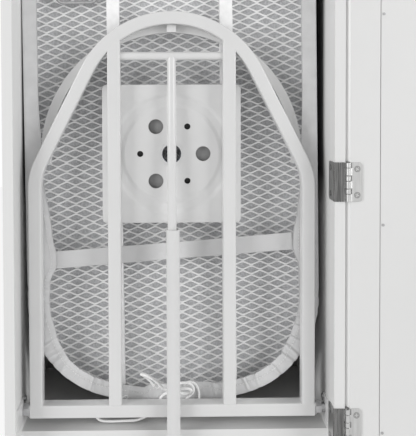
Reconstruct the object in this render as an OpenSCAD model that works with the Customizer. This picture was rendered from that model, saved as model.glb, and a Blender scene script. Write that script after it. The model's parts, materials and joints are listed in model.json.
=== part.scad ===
// Wall cabinet with a mirrored door and a fold-down ironing board, shown with the door open.
// X runs to the right, Y toward the wall and Z up. The origin is on the wall plane, at the
// middle of the four wall screws. Inside placed() a point is written as
// [x, depth behind the front plane, height above the cabinet's underside].

/* [Cabinet] */
// Outer width of the cabinet and of its door
cab_w = 386; // [378:1:410]
// Outer height of the cabinet and of its door
cab_h = 1320; // [1316:1:1400]
// Depth from the wall to the front edges
cab_d = 195; // [180:1:230]
// Thickness of the side, top, floor and bottom boards
wall_t = 12; // [11:0.5:14]
// Thickness of the back panel
back_t = 3; // [2.5:0.5:5]
// Depth of the grooves that hold the back panel
groove = 4; // [3:0.5:6]
// Thickness of the hanging rails behind the back panel
hang_t = 11; // [9:1:14]
// Height of each hanging rail
hang_h = 80; // [60:1:100]
// Distance of the compartment floor's top face below the fold axis
floor_down = 25; // [23:1:50]
// Setback of the floor's edge and the lower panel behind the front plane
front_set = 29; // [27:0.5:32]
// Distance between the wall screws, side to side
screw_span = 260; // [200:1:300]
// Height of the lower pair of wall screws above the compartment floor
screw_up = 52; // [45:1:80]
// Distance of the upper pair of wall screws below the cabinet's top
screw_down = 60; // [58:1:80]
// Radius of the wall screw holes
screw_hole_r = 2.75; // [2.25:0.25:4]

/* [Door] */
// Thickness of the door
door_t = 20; // [19:0.5:24]
// Width of the door's stiles and rails on the inner side
stile_w = 33.5; // [30:0.5:40]
// How much further the frame reaches over the mirror on the outer side
lip_w = 8; // [5:0.5:12]
// Thickness of the mirror glass
mirror_t = 4; // [3:0.5:5]
// Thickness of the backing panel
backing_t = 10; // [8:0.5:11]
// How far the backing lies below the door's inner face
backing_set = 0.8; // [0.7:0.1:1.5]
// Gap between the backing and the door's frame
backing_gap = 1; // [0.5:0.1:1.5]
// Radius of a backing nail's head
nail_r = 1.6; // [1.2:0.1:2.2]
// Distance between the backing nails
nail_step = 238.6; // [200:0.1:260]
// Height of the lowest nail
nail_low = 132.4; // [90:0.1:140]

/* [Hinges] */
// Height of one hinge
hinge_h = 44.4; // [42:0.1:48]
// Height of the lowest hinge's centre
hinge_first = 97; // [60:1:140]
// Thickness of a hinge leaf
leaf_t = 1.3; // [1:0.1:1.35]
// Outer radius of the knuckles
barrel_r = 2.85; // [2.6:0.05:3.2]
// Radius of the hinge pins
pin_r = 1.2; // [1:0.05:1.4]
// Gap between the closed door and the cabinet
closed_gap = 3; // [2.9:0.1:4]
// Reach of the door leaf from the pin
leaf_reach = 16; // [15:0.5:20]
// Depth of the leaf that wraps round the cabinet's inner face
wrap_depth = 19; // [17:0.5:24]
// Height of a cabinet knuckle; a door knuckle takes the rest
knuckle_h = 6; // [5:0.1:8]

/* [Fold frame] */
// Outer size of the square tube
tube = 15; // [14:0.5:15.5]
// Radius of the tube's edges
tube_edge = 1.6; // [1:0.1:2.5]
// Room between the frame and each side board, before its shift to the left
frame_room = 13; // [12:0.5:15]
// How far the frame stands left of the cabinet's middle
frame_left = 2.5; // [2:0.1:3]
// Height of the fold axis
pivot_h = 385; // [380:1:395]
// Depth of the fold axis
pivot_d = 31.5; // [31:0.1:32]
// Height of the arch above the fold axis
arch_h = 470; // [462:1:480]
// Outer radius of the arch's top bend
apex_r = 118; // [114:1:122]
// Lean of the arch's sides from the vertical
side_lean = 27; // [25:0.5:29]
// Outer radius of the arch's shoulder bends
shoulder_r = 80; // [60:1:100]
// Distance of each inner bar from the frame's middle
bar_x = 67.5; // [62:0.5:74]
// Radius of the pivot bolts
bolt_r = 4; // [3:0.5:4.5]
// Depth of the bolts' bores in the bottom rail
bolt_bore = 30; // [20:1:50]
// Radial running clearance of the pivots
run_fit = 0.05; // [0.03:0.01:0.08]

/* [Swivel] */
// Distance of the track's top below the arch's top
track_under = 13; // [9:1:14]
// Room between the track and the flat hem
track_room = 3; // [1:0.5:5]
// Width of the track
track_w = 11; // [9:0.5:12]
// Depth of the track
track_t = 7; // [5:0.5:7.5]
// Drop of the track's ends below the swivel's centre
track_drop = 12; // [8:1:16]
// Side of the square swivel plates
plate_w = 165; // [152:1:170]
// Thickness of the swivel plates
plate_t = 2; // [1.5:0.1:2.2]
// Inner radius of the hollow swivel rivet
rivet_r = 11; // [9:0.5:13]
// Wall of the hollow swivel rivet
rivet_wall = 1.5; // [1:0.1:2]
// Radius of the circle on which the plate's holes lie
hole_circle = 37.5; // [35:0.5:40]
// Radius of the three large holes
large_hole_r = 8.85; // [7:0.05:10]
// Radius of the three small holes
small_hole_r = 3.65; // [3:0.05:5]
// Inner radius of the pressed bead
bead_in = 55; // [50:0.5:58]
// Width of the pressed bead
bead_w = 18; // [14:0.5:20]

/* [Ironing board] */
// Room between the board and each side board
board_room = 5; // [5:0.5:8]
// Room between the board's nose and the top board
nose_room = 10.5; // [9.5:0.5:34]
// How far the board's tail hangs below the fold axis
tail_drop = 1.5; // [0:0.5:4]
// Lean of the stowed board to the left, in degrees
board_lean = 0.65; // [0.4:0.05:0.65]
// Height above the fold axis at which the board starts to taper
taper_up = 483; // [460:1:483]
// Radius of the nose
nose_r = 60; // [50:1:75]
// Radius of the tail's corners
tail_corner_r = 120; // [100:1:140]
// Radius of the tail's end
tail_end_r = 345; // [320:1:380]
// Depth of the hem's front face
hem_d = 42.2; // [42:0.1:42.5]
// Width of the flat hem
hem_w = 18; // [17:0.5:18]
// Thickness of the cover
cover_t = 1.3; // [1:0.1:1.4]
// Depth of the gathers in the hem
gather = 1.2; // [0.8:0.1:1.3]
// Depth of the mesh's front face
mesh_d = 61; // [60:0.5:63]
// Thickness of the mesh
mesh_t = 1.2; // [1:0.1:1.5]
// Thickness of the pad
pad_t = 8; // [6:0.5:10]
// Width of the rim's tube
rim_w = 14; // [12:0.5:14.5]
// Width of the board's long rails
board_rail_w = 15; // [12:0.5:16]
// Distance of each long rail from the board's middle
board_rail_x = 68; // [64:0.5:72]
// Width of the elastic strap
strap_w = 21; // [16:0.5:25]
// Height of the strap's left end above the fold axis
strap_up = 173; // [165:1:180]
// Rise of the strap to its right end
strap_rise = 22; // [0:1:30]
// Distance of the strap's ends from the board's edges
strap_in = 29; // [27:1:32]
// Long way of one mesh opening
mesh_px = 62; // [58:1:90]
// Short way of one mesh opening
mesh_pz = 33; // [31:1:50]
// Width of a mesh strand
strand = 3; // [2:0.5:5]

/* [Strut] */
// Distance of the crossbar below the arch's top
cross_under = 52; // [50:1:56]
// Radius of the crossbar
cross_r = 5; // [4:0.5:5.5]
// Depth of the crossbar's bores in the inner bars
cross_bore = 12; // [8:0.5:13]
// Radius of the strut's rod
rod_r = 5.25; // [4.5:0.05:5.4]
// Outer radius of the strut's tube
strut_r = 7.85; // [7.7:0.05:8]
// Wall of the strut's tube
strut_wall = 1.2; // [1:0.1:1.2]
// How far the tube lies right of the rod
rod_offset = 1; // [0:0.1:1]
// Distance of the tube's mouth below the crossbar
mouth_down = 202.7; // [202.5:0.1:210]
// Length of the rod from the crossbar
rod_l = 425; // [360:1:430]
// Height of the bracket pin below the fold axis
foot_down = 234; // [228:1:240]
// How far the bracket pin stands in front of the fold axis
foot_fore = 25; // [24.9:0.1:25.2]
// Radius of the bracket pin
foot_pin_r = 4; // [3:0.5:5]
// Thickness of the strut's foot
foot_t = 8; // [6:0.5:9]

/* [Catch and bail] */
// Distance of the catch's screw from the cabinet's middle
catch_x = 95; // [85:1:110]
// Depth of the catch's screw
catch_d = 37.5; // [37:0.5:38]
// Reach of the catch's arm
catch_l = 45; // [40:1:50]
// Length of the catch's turned-down lip
catch_lip = 34; // [28:1:36]
// Radius of the bail's wire
wire_r = 2; // [1.5:0.1:2.5]
// Width of the bail over its wires
bail_w = 52; // [44:1:56]
// Drop of the bail from its clip
bail_l = 55; // [45:1:60]
// Height of the bail's clip above the fold axis
bail_up = 540; // [530:1:550]
// Distance of the bail's middle from the board's left edge
bail_in = 64.5; // [60:0.5:70]

/* [Hidden] */
$fn = 48;
eps = 0.01;
// Room for a weld between straight pieces and the arch
weld_gap = 0.15;
// Rounded inner corners between the crossbar and the rod, and how far they lap over both
fillet_r = 4;
fillet_lap = 0.9;

// Cabinet
in_x = cab_w / 2 - wall_t;
back_d = cab_d - hang_t - back_t;
floor_h = pivot_h - floor_down;
screw_low = floor_h + screw_up;
screw_high = cab_h - screw_down;
origin_h = (screw_low + screw_high) / 2;
fold_x = -frame_left;
// Door and hinges
pin_x = cab_w / 2 + barrel_r;
pin_d = -closed_gap / 2;
door_x = pin_x + barrel_r;
hinge_count = 5;
hinge_step = (cab_h - 2 * hinge_first - 2) / (hinge_count - 1);
door_knuckle = (hinge_h - 3 * knuckle_h) / 3;
knuckle_gap = 0.1;
screw_z = hinge_h / 3;
screw_r = 1.6;
head_r = 2.9;
pair_h = knuckle_h + door_knuckle;
nail_count = 5;
magnet_h = cab_h - 140;
// Fold frame
side_r = tube / 2;
frame_w = 2 * (in_x - frame_room);
leg_x = frame_w / 2 - side_r;
apex_z = arch_h - apex_r;
apex_mid = apex_r - side_r;
shoulder_mid = shoulder_r - side_r;
shoulder_x = leg_x - shoulder_mid;
lean_l = (shoulder_x + (shoulder_mid - apex_mid) * cos(side_lean)) / sin(side_lean);
shoulder_z = apex_z + (apex_mid - shoulder_mid) * sin(side_lean) - lean_l * cos(side_lean);
frame_front = pivot_d - side_r;
frame_rear = pivot_d + side_r;
pivot_plate_t = 2;
plate_half = 13;
plate_reach = 12;
plate_round = 3;
plate_set = 5;
plate_room = 0.5;
// Distance of the plates' screws above, below and behind the fold axis
plate_screw = 8.5;
washer_t = 1.6;
washer_r = 8.5;
nut_t = 6.5;
nut_flats = 13;
// Swivel
rivet_out = rivet_r + rivet_wall;
bead_t = 1.2;
bead_steps = 10;
// Ironing board
board_w = 2 * (in_x - board_room);
half_w = board_w / 2;
tail_h = pivot_h - tail_drop;
board_l = cab_h - wall_t - nose_room - tail_h;
track_out = half_w - hem_w - track_room;
track_r = track_out - track_w;
swivel_h = pivot_h + arch_h - track_under - track_out;
nose_z = tail_h + board_l - nose_r;
taper_h = pivot_h + taper_up;
side_arc = (pow(half_w, 2) + pow(nose_z - taper_h, 2) - pow(nose_r, 2)) / (2 * (half_w - nose_r));
nose_a = asin((nose_z - taper_h) / (side_arc - nose_r));
corner_x = half_w - tail_corner_r;
tail_a = asin(corner_x / (tail_end_r - tail_corner_r));
tail_z = tail_h + tail_end_r;
corner_z = tail_z - (tail_end_r - tail_corner_r) * cos(tail_a);
rim_in = cover_t + 0.2;
rim_front = hem_d + cover_t + gather + 0.7;
board_rail_front = 47;
strap_d = board_rail_front - 1.5;
strap_t = 1.2;
pad_rear = mesh_d + mesh_t + pad_t;
cover_rear = pad_rear + 0.1 + cover_t;
upper_plate_d = board_rail_front - plate_t;
// Strut
cross_up = arch_h - cross_under;
cross_h = pivot_h + cross_up;
foot_h = pivot_h - foot_down;
foot_d = pivot_d - foot_fore;
strut_x = fold_x;
strut_l = norm([foot_fore, cross_up + foot_down]);
strut_a = atan(foot_fore / (cross_up + foot_down));
low_l = norm([cross_up - foot_fore, foot_down]);
strut_stroke = strut_l - low_l;
strut_turn = atan2(-foot_down, cross_up - foot_fore) - atan2(-cross_up - foot_down, -foot_fore) - 90;
foot_gap = 0.1;
tube_end = 17;
bore_r = strut_r - strut_wall;
// Catch and bail
catch_t = 3;
catch_wide = 12;
bail_x = bail_in - half_w;
bail_d = 54;
bail_h = pivot_h + bail_up;
// Where the drawstring runs: [x, depth, height], both ends in the hem
cord_r = 1.5;
tail_cord = [[-63, 40.7, 392.5], [-69, 40.6, 389.5], [-76, 40.6, 387.3], [-83.5, 40.6, 385],
    [-90, 40.6, 381.3], [-94, 40.6, 375.5], [-93.5, 40.6, 369], [-88, 40.7, 365.2],
    [-79, 40.8, 364.2], [-68, 40.8, 364.3], [-58, 40.8, 364.6],
    [-47, 40.8, 365.2], [-38, 40.7, 368], [-30, 40.6, 372.5], [-23.5, 40.6, 379], [-19, 40.6, 386],
    [-16.5, 40.5, 392.5], [-11.5, 39.4, 397.5], [-4, 37.3, 400.6]];
bow_cord = [[-24.5, 40.6, 406.5], [-28.5, 40.5, 412], [-33.5, 39.8, 417], [-37.8, 37.7, 421.2],
    [-39.8, 33.8, 424.3], [-37.8, 30, 426], [-33, 28.2, 425.5], [-27, 28.4, 422], [-21, 29.8, 417],
    [-16, 31.6, 410.8], [-11.3, 33.6, 405.9], [-5.3, 35, 404]];
ear_cord = [[3.5, 36.3, 402.3], [7.5, 36.8, 400.2], [12, 36.6, 399.6], [16.8, 35.4, 401],
    [19.8, 33.3, 404], [18.6, 31, 407.3], [14, 29.8, 409], [8.5, 30.6, 408.3], [3.6, 33, 405.6]];
loop_cord = [[0.5, 35.9, 408.2], [4.5, 36.5, 411], [10.5, 36.6, 412.3], [17, 36.6, 411.6],
    [21.5, 36.8, 408.4], [22.8, 37.4, 403.8], [21.8, 38.5, 399.3], [18.8, 39.9, 395.2],
    [15, 40.6, 391.2], [12.2, 40.6, 386.6], [13, 40.7, 381.6], [17.5, 40.8, 378.4],
    [23, 40.8, 379], [27, 40.7, 383], [29, 40.6, 388.5], [29.6, 40.5, 394.5], [29.1, 40.4, 400.5],
    [27, 40.4, 406], [23, 40.6, 410], [17, 40.6, 411], [11.5, 40.7, 408]];
knot = [-1, 35.5, 403.5];
knot_r = 3.8;

echo(origin_h = origin_h, pin_x = pin_x, pin_y = pin_d - cab_d, pivot_z = pivot_h - origin_h);
echo(strut_stroke = strut_stroke, strut_turn = strut_turn, strut_a = strut_a);
echo(hinge_ratio = strut_turn / 90, slide_ratio = strut_stroke / 1000 / (PI / 2));

module placed() translate([0, -cab_d, -origin_h]) children();

module box3(x, d, h) translate([x[0], d[0], h[0]]) cube([x[1] - x[0], d[1] - d[0], h[1] - h[0]]);

module along_y(p, l, r) translate(p) rotate([-90, 0, 0]) cylinder(h = l, r = r);

module along_x(p, l, r) translate(p) rotate([0, 90, 0]) cylinder(h = l, r = r);

// A flat outline in X and height, filling the depths from front to rear
module slab(front, rear) translate([0, rear, 0]) rotate([90, 0, 0]) linear_extrude(rear - front) children();

module folded() placed() translate([fold_x, 0, 0]) children();

// The stowed board leans a little about the swivel's centre
module leaning() placed() translate([fold_x, 0, swivel_h]) rotate([0, -board_lean, 0])
    translate([0, 0, -swivel_h]) children();

module tube_section() {
    edge = tube - 2 * tube_edge;
    square([tube, edge], center = true);
    square([edge, tube], center = true);
    for (x = [-1, 1], y = [-1, 1])
        translate([x * edge / 2, y * edge / 2]) circle(tube_edge);
}

// Screw with a countersunk head, pointing along +Z from its head
module wood_screw(l) {
    cylinder(h = leaf_t, r1 = head_r, r2 = screw_r);
    cylinder(h = l, r = screw_r);
}

module side_board(side) color("white") placed() difference() {
    x = side > 0 ? [in_x, cab_w / 2] : [-cab_w / 2, -in_x];
    box3(x, [0, cab_d], [0, cab_h]);
    gx = side > 0 ? [in_x - 1, in_x + groove] : [-in_x - groove, -in_x + 1];
    box3(gx, [back_d, back_d + back_t], [-1, cab_h + 1]);
    along_x([side > 0 ? in_x - 1 : -in_x - 10 + 1, pivot_d, pivot_h], 10, bolt_r);
    for (z = [-1, 1])
        along_x([side > 0 ? in_x - 1 : -in_x - 8, pivot_d + plate_screw, pivot_h + z * plate_screw],
            9, screw_r);
    if (side > 0)
        for (k = [0:hinge_count - 1], z = [-1, 1])
            along_x([in_x - 1, 12, hinge_first + k * hinge_step + z * screw_z], 11, screw_r);
}

module side_left() side_board(-1);

module side_right() side_board(1);

module top_board() color("white") placed() difference() {
    box3([-in_x, in_x], [0, back_d], [cab_h - wall_t, cab_h]);
    translate([catch_x, catch_d, cab_h - wall_t - 1]) cylinder(h = 9, r = screw_r);
}

module bottom_board() color("white") placed() box3([-in_x, in_x], [0, back_d], [0, wall_t]);

module compartment_floor() color("white") placed()
    box3([-in_x, in_x], [front_set, back_d], [floor_h - wall_t, floor_h]);

module lower_panel() color("white") placed() difference() {
    box3([-in_x, in_x], [front_set, front_set + wall_t], [wall_t, floor_h - wall_t]);
    for (z = [-1, 1])
        along_y([strut_x, front_set - 1, foot_h + z * 22], 10, screw_r);
}

module wall_screw_holes()
    for (x = [-1, 1], h = [screw_low, screw_high])
        along_y([x * screw_span / 2, back_d - 1, h], cab_d, screw_hole_r);

module back_panel() color("gainsboro") placed() difference() {
    box3([-in_x - groove, in_x + groove], [back_d, back_d + back_t], [1, cab_h - 1]);
    wall_screw_holes();
}

module hanging_rail(h) color("burlywood") placed() difference() {
    box3([-in_x, in_x], [back_d + back_t, cab_d], [h - hang_h / 2, h + hang_h / 2]);
    wall_screw_holes();
}

// The right plate stops behind the hinge leaf that wraps round its side board
module pivot_plate(side) color("white") placed() difference() {
    x0 = side > 0 ? in_x - pivot_plate_t : -in_x;
    front = side > 0 ? wrap_depth + plate_room : plate_set;
    hull()
        for (z = [-1, 1], d = [front + plate_round, pivot_d + plate_reach - plate_round])
            along_x([x0, d, pivot_h + z * (plate_half - plate_round)], pivot_plate_t, plate_round);
    along_x([x0 - 1, pivot_d, pivot_h], 4, bolt_r);
    for (z = [-1, 1])
        along_x([x0 - 1, pivot_d + plate_screw, pivot_h + z * plate_screw], 4, screw_r);
}

module pivot_plates() {
    pivot_plate(-1);
    pivot_plate(1);
}

// Gap between the frame and a side, where the washer and the nut sit
function frame_edge(side) = side * frame_w / 2 + fold_x;
function gap_in(side) = side * (in_x - pivot_plate_t);

module pivot_bolts() color("silver") placed()
    for (side = [-1, 1]) {
        out = side * (in_x + 9);
        inner = frame_edge(side) - side * (bolt_bore - 1);
        along_x([min(out, inner), pivot_d, pivot_h], abs(out - inner), bolt_r);
    }

module pivot_nuts() color("silver") placed()
    for (side = [-1, 1])
        translate([frame_edge(side) + side * (washer_t + 0.3), pivot_d, pivot_h])
            rotate([0, side * 90, 0]) difference() {
                cylinder(h = nut_t, d = nut_flats / cos(30), $fn = 6);
                translate([0, 0, -1]) cylinder(h = nut_t + 2, r = bolt_r);
            }

module pivot_washers() color("silver") placed()
    for (side = [-1, 1])
        translate([frame_edge(side) + side * 0.25, pivot_d, pivot_h])
            rotate([0, side * 90, 0]) difference() {
                cylinder(h = washer_t, r = washer_r);
                translate([0, 0, -1]) cylinder(h = washer_t + 2, r = bolt_r);
            }

ear_in = foot_t / 2 + 1;
ear_t = 2;
ear_r = 9;

module strut_bracket() color("silver") placed() difference() {
    union() {
        box3([strut_x - 18, strut_x + 18], [front_set - 2, front_set], [foot_h - 32, foot_h + 32]);
        for (side = [-1, 1])
            translate([strut_x + side * (ear_in + ear_t / 2), 0, 0]) rotate([0, 90, 0])
                linear_extrude(ear_t, center = true)
                    polygon([[-foot_h - 15, front_set - 1], [-foot_h + 15, front_set - 1],
                        [-foot_h + ear_r, foot_d], [-foot_h + 6, foot_d - 6.5],
                        [-foot_h - 6, foot_d - 6.5], [-foot_h - ear_r, foot_d]]);
    }
    along_x([strut_x - 20, foot_d, foot_h], 40, foot_pin_r);
    for (z = [-1, 1])
        along_y([strut_x, front_set - 3, foot_h + z * 22], 4, screw_r);
}

module strut_bracket_pin() color("silver") placed() {
    l = 2 * (ear_in + ear_t) + 3;
    along_x([strut_x - l / 2, foot_d, foot_h], l, foot_pin_r);
    for (side = [-1, 1])
        along_x([strut_x + side * (l / 2) - (side > 0 ? 1.5 : 0), foot_d, foot_h], 1.5, foot_pin_r + 1.5);
}

module fixing_screws() color("silver") placed() {
    translate([catch_x, catch_d, cab_h - wall_t - catch_t - 2]) {
        cylinder(h = 1.7, r = head_r + 1.6);
        cylinder(h = 12, r = screw_r);
    }
    for (z = [-1, 1]) {
        translate([strut_x, front_set - 3.4, foot_h + z * 22]) rotate([-90, 0, 0]) {
            cylinder(h = 1.4, r = head_r + 1);
            cylinder(h = 12, r = screw_r);
        }
        for (side = [-1, 1])
            translate([side * (in_x - pivot_plate_t - 1.2), pivot_d + plate_screw,
                pivot_h + z * plate_screw])
                rotate([0, side * 90, 0]) {
                    cylinder(h = 1.2, r = head_r);
                    cylinder(h = 10, r = screw_r);
                }
    }
}

// Knuckles of one leaf, on the pin's axis; door knuckles alternate with the cabinet's
module knuckles(k, door) {
    h0 = hinge_first + k * hinge_step + hinge_h / 2;
    for (i = [0:2]) {
        top = h0 - i * pair_h - (door ? knuckle_h : 0) - knuckle_gap;
        l = (door ? door_knuckle : knuckle_h) - 2 * knuckle_gap;
        translate([pin_x, pin_d, top - l]) cylinder(h = l, r = barrel_r);
        x = door ? [pin_x, door_x + 1] : [cab_w / 2 - 1, pin_x];
        box3(x, [-leaf_t, 0], [top - l, top]);
    }
}

module pin_bore(k)
    translate([pin_x, pin_d, hinge_first + k * hinge_step - hinge_h / 2 - 1])
        cylinder(h = hinge_h + 2, r = pin_r + run_fit);

module hinge_cabinet_leaf(k) color("silver") placed() difference() {
    h = hinge_first + k * hinge_step;
    corner = 3.5;
    union() {
        box3([in_x - leaf_t, cab_w / 2 - 0.2], [-leaf_t, 0], [h - hinge_h / 2, h + hinge_h / 2]);
        box3([in_x - leaf_t, in_x], [-leaf_t, wrap_depth - corner], [h - hinge_h / 2, h + hinge_h / 2]);
        box3([in_x - leaf_t, in_x], [0, wrap_depth], [h - hinge_h / 2 + corner, h + hinge_h / 2 - corner]);
        for (z = [-1, 1])
            along_x([in_x - leaf_t, wrap_depth - corner, h + z * (hinge_h / 2 - corner)], leaf_t, corner);
        knuckles(k, false);
    }
    pin_bore(k);
    for (z = [-1, 1])
        translate([in_x - leaf_t, 12, h + z * screw_z]) rotate([0, 90, 0]) wood_screw(4);
}

module hinge_door_leaf(k) color("silver") placed() difference() {
    h = hinge_first + k * hinge_step;
    corner = 3.5;
    end = pin_x + leaf_reach;
    union() {
        box3([door_x + 0.2, end - corner], [-leaf_t, 0], [h - hinge_h / 2, h + hinge_h / 2]);
        box3([door_x + 0.2, end], [-leaf_t, 0], [h - hinge_h / 2 + corner, h + hinge_h / 2 - corner]);
        for (z = [-1, 1])
            along_y([end - corner, -leaf_t, h + z * (hinge_h / 2 - corner)], leaf_t, corner);
        knuckles(k, true);
    }
    pin_bore(k);
    for (z = [-1, 1])
        translate([pin_x + 10.3, -leaf_t, h + z * screw_z]) rotate([-90, 0, 0]) wood_screw(4);
}

module hinge_pins() color("silver") placed()
    for (k = [0:hinge_count - 1])
        translate([pin_x, pin_d, hinge_first + k * hinge_step - hinge_h / 2])
            cylinder(h = hinge_h, r = pin_r);

module hinge_screws_cabinet() color("silver") placed()
    for (k = [0:hinge_count - 1], z = [-1, 1])
        translate([in_x - leaf_t, 12, hinge_first + k * hinge_step + z * screw_z])
            rotate([0, 90, 0]) wood_screw(11);

module hinge_screws_door() color("silver") placed()
    for (k = [0:hinge_count - 1], z = [-1, 1])
        translate([pin_x + 10.3, -leaf_t, hinge_first + k * hinge_step + z * screw_z])
            rotate([-90, 0, 0]) wood_screw(12);

module door_magnet() color("white") placed() {
    box3([-in_x, -in_x + 13], [0, 16], [magnet_h - 20, magnet_h + 20]);
    for (x = [3, 8.5])
        box3([-in_x + x, -in_x + x + 1.5], [pin_d * 2 + 1.3, 0], [magnet_h - 14, magnet_h + 14]);
}

module strike_plate() color("silver") placed()
    box3([2 * pin_x + in_x - 13, 2 * pin_x + in_x - 1], [-1, 0], [magnet_h - 20, magnet_h + 20]);

// Door, opened flat beside the cabinet: its inner face is at depth 0
door_front = door_t - 5.2;

module door_stile_hinge() color("white") placed() difference() {
    union() {
        box3([door_x, door_x + stile_w], [0, door_t], [0, cab_h]);
        box3([door_x, door_x + stile_w + lip_w], [door_front, door_t], [0, cab_h]);
    }
    for (k = [0:hinge_count - 1], z = [-1, 1])
        along_y([pin_x + 10.3, -1, hinge_first + k * hinge_step + z * screw_z], 12, screw_r);
}

module door_stile_free() color("white") placed() {
    end = door_x + cab_w;
    box3([end - stile_w, end], [0, door_t], [0, cab_h]);
    box3([end - stile_w - lip_w, end], [door_front, door_t], [0, cab_h]);
}

module door_rail(top) color("white") placed() {
    h = top ? [cab_h - stile_w, cab_h] : [0, stile_w];
    lip = top ? [cab_h - stile_w - lip_w, cab_h] : [0, stile_w + lip_w];
    box3([door_x + stile_w, door_x + cab_w - stile_w], [0, door_front], h);
    box3([door_x + stile_w + lip_w, door_x + cab_w - stile_w - lip_w], [door_front, door_t], lip);
}

module door_backing() color("white") placed() difference() {
    edge = stile_w + backing_gap;
    box3([door_x + edge, door_x + cab_w - edge], [backing_set, backing_set + backing_t],
        [edge, cab_h - edge]);
    at_nails() along_y([0, backing_set - 1, 0], 9, 0.7);
}

module at_nails()
    for (k = [0:nail_count - 1], x = [stile_w + 4, cab_w - stile_w - 4])
        translate([door_x + x, 0, nail_low + k * nail_step]) children();

module mirror() color("lightsteelblue") placed()
    box3([door_x + stile_w + 0.5, door_x + cab_w - stile_w - 0.5],
        [door_front - mirror_t, door_front], [stile_w + 0.5, cab_h - stile_w - 0.5]);

module panel_nails() color("silver") placed()
    at_nails() {
        along_y([0, backing_set - 0.5, 0], 0.5, nail_r);
        along_y([0, backing_set - 0.5, 0], 8, 0.7);
    }

// The bent tube of the arch: places along it as [x, height above the axis, outward angle]
arch_steps = 30;
bend_steps = 6;
arch_line = concat(
    [[leg_x, side_r, 0]],
    [for (i = [0:bend_steps]) let (a = side_lean * i / bend_steps)
        [shoulder_x + shoulder_mid * cos(a), shoulder_z + shoulder_mid * sin(a), a]],
    [for (i = [0:arch_steps]) let (a = side_lean + (180 - 2 * side_lean) * i / arch_steps)
        [apex_mid * cos(a), apex_z + apex_mid * sin(a), a]],
    [for (i = [0:bend_steps]) let (a = 180 - side_lean + side_lean * i / bend_steps)
        [shoulder_mid * cos(a) - shoulder_x, shoulder_z + shoulder_mid * sin(a), a]],
    [[-leg_x, side_r, 180]]);
edge_mid = side_r - tube_edge;
section = [for (q = [0:3], i = [0:2]) let (m = 90 * q + 45, a = 90 * q + 45 * i)
    edge_mid * sqrt(2) * [cos(m), sin(m)] + tube_edge * [cos(a), sin(a)]];

module frame_arch() color("white") folded() {
    n = len(section);
    last = len(arch_line) - 1;
    polyhedron(
        points = [for (s = arch_line, p = section)
            [s[0] + p[0] * cos(s[2]), pivot_d + p[1], pivot_h + s[1] + p[0] * sin(s[2])]],
        faces = concat(
            [for (k = [0:last - 1], i = [0:n - 1], f = [0, 1]) let (j = (i + 1) % n)
                f == 0 ? [k * n + i, k * n + j, (k + 1) * n + j]
                       : [k * n + i, (k + 1) * n + j, (k + 1) * n + i]],
            [[for (i = [n - 1:-1:0]) i]],
            [[for (i = [0:n - 1]) last * n + i]]));
}

module frame_rail() color("white") folded() difference() {
    translate([-frame_w / 2, pivot_d, pivot_h]) rotate([0, 90, 0])
        linear_extrude(frame_w) tube_section();
    for (side = [-1, 1])
        along_x([side > 0 ? frame_w / 2 - bolt_bore : -frame_w / 2 - 1, pivot_d, pivot_h],
            bolt_bore + 1, bolt_r + run_fit);
}

module frame_bar(side) color("white") folded() difference() {
    intersection() {
        translate([side * bar_x, pivot_d, pivot_h + side_r])
            linear_extrude(arch_h) tube_section();
        union() {
            box3([-frame_w, frame_w], [0, 2 * tube + pivot_d], [pivot_h, pivot_h + apex_z]);
            along_y([0, 0, pivot_h + apex_z], 2 * tube + pivot_d, apex_r - tube - weld_gap);
        }
    }
    inner = side * (bar_x - side_r);
    along_x([side > 0 ? inner - 1 : inner - cross_bore, pivot_d, cross_h], cross_bore + 1, cross_r + run_fit);
}

module swivel_track() color("white") folded() {
    drop = asin(track_drop / (track_r + track_w / 2));
    translate([0, frame_rear + track_t / 2, swivel_h]) rotate([90, 0, 0]) rotate([0, 0, -drop])
        rotate_extrude(angle = 180 + 2 * drop)
            translate([track_r + track_w / 2, 0]) square([track_w, track_t], center = true);
}

module track_spacer() color("white") folded() difference() {
    box3([-5.5, 5.5], [frame_front + 7, frame_rear], [swivel_h + track_r, pivot_h + arch_h]);
    difference() {
        box3([-20, 20], [0, 60], [pivot_h + apex_z, pivot_h + arch_h + 1]);
        along_y([0, -1, pivot_h + apex_z], 70, apex_r - tube - weld_gap);
    }
}

module round_square(w, r) {
    square([w, w - 2 * r], center = true);
    square([w - 2 * r, w], center = true);
    for (x = [-1, 1], y = [-1, 1])
        translate([x * (w / 2 - r), y * (w / 2 - r)]) circle(r);
}

// The pressed ring: its rounded section from depth d down to a flat base, turned about the swivel
module bead(d, base) translate([0, frame_rear, swivel_h]) rotate([-90, 0, 0]) rotate_extrude()
    polygon(concat([[bead_in, base]],
        [for (i = [0:bead_steps]) [bead_in + bead_w * i / bead_steps,
            d + bead_t * (1 - cos(360 * i / bead_steps)) / 2]],
        [[bead_in + bead_w, base]]));

module swivel_plate_lower() color("white") folded() difference() {
    union() {
        slab(frame_rear, frame_rear + plate_t) translate([0, swivel_h]) round_square(plate_w, 5);
        bead(plate_t, plate_t / 2);
    }
    bead(0, -1);
    along_y([0, frame_rear - 1, swivel_h], 9, rivet_out + run_fit);
    for (k = [0:2]) {
        a = 120 * k;
        along_y([hole_circle * cos(a), frame_rear - 1, swivel_h + hole_circle * sin(a)], 9, large_hole_r);
        along_y([hole_circle * cos(a + 60), frame_rear - 1, swivel_h + hole_circle * sin(a + 60)], 9,
            small_hole_r);
    }
}

// The strut's own line: origin at the crossbar, -Z toward the bracket pin
module on_strut() placed() translate([strut_x, pivot_d, cross_h]) rotate([-strut_a, 0, 0]) children();

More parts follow.
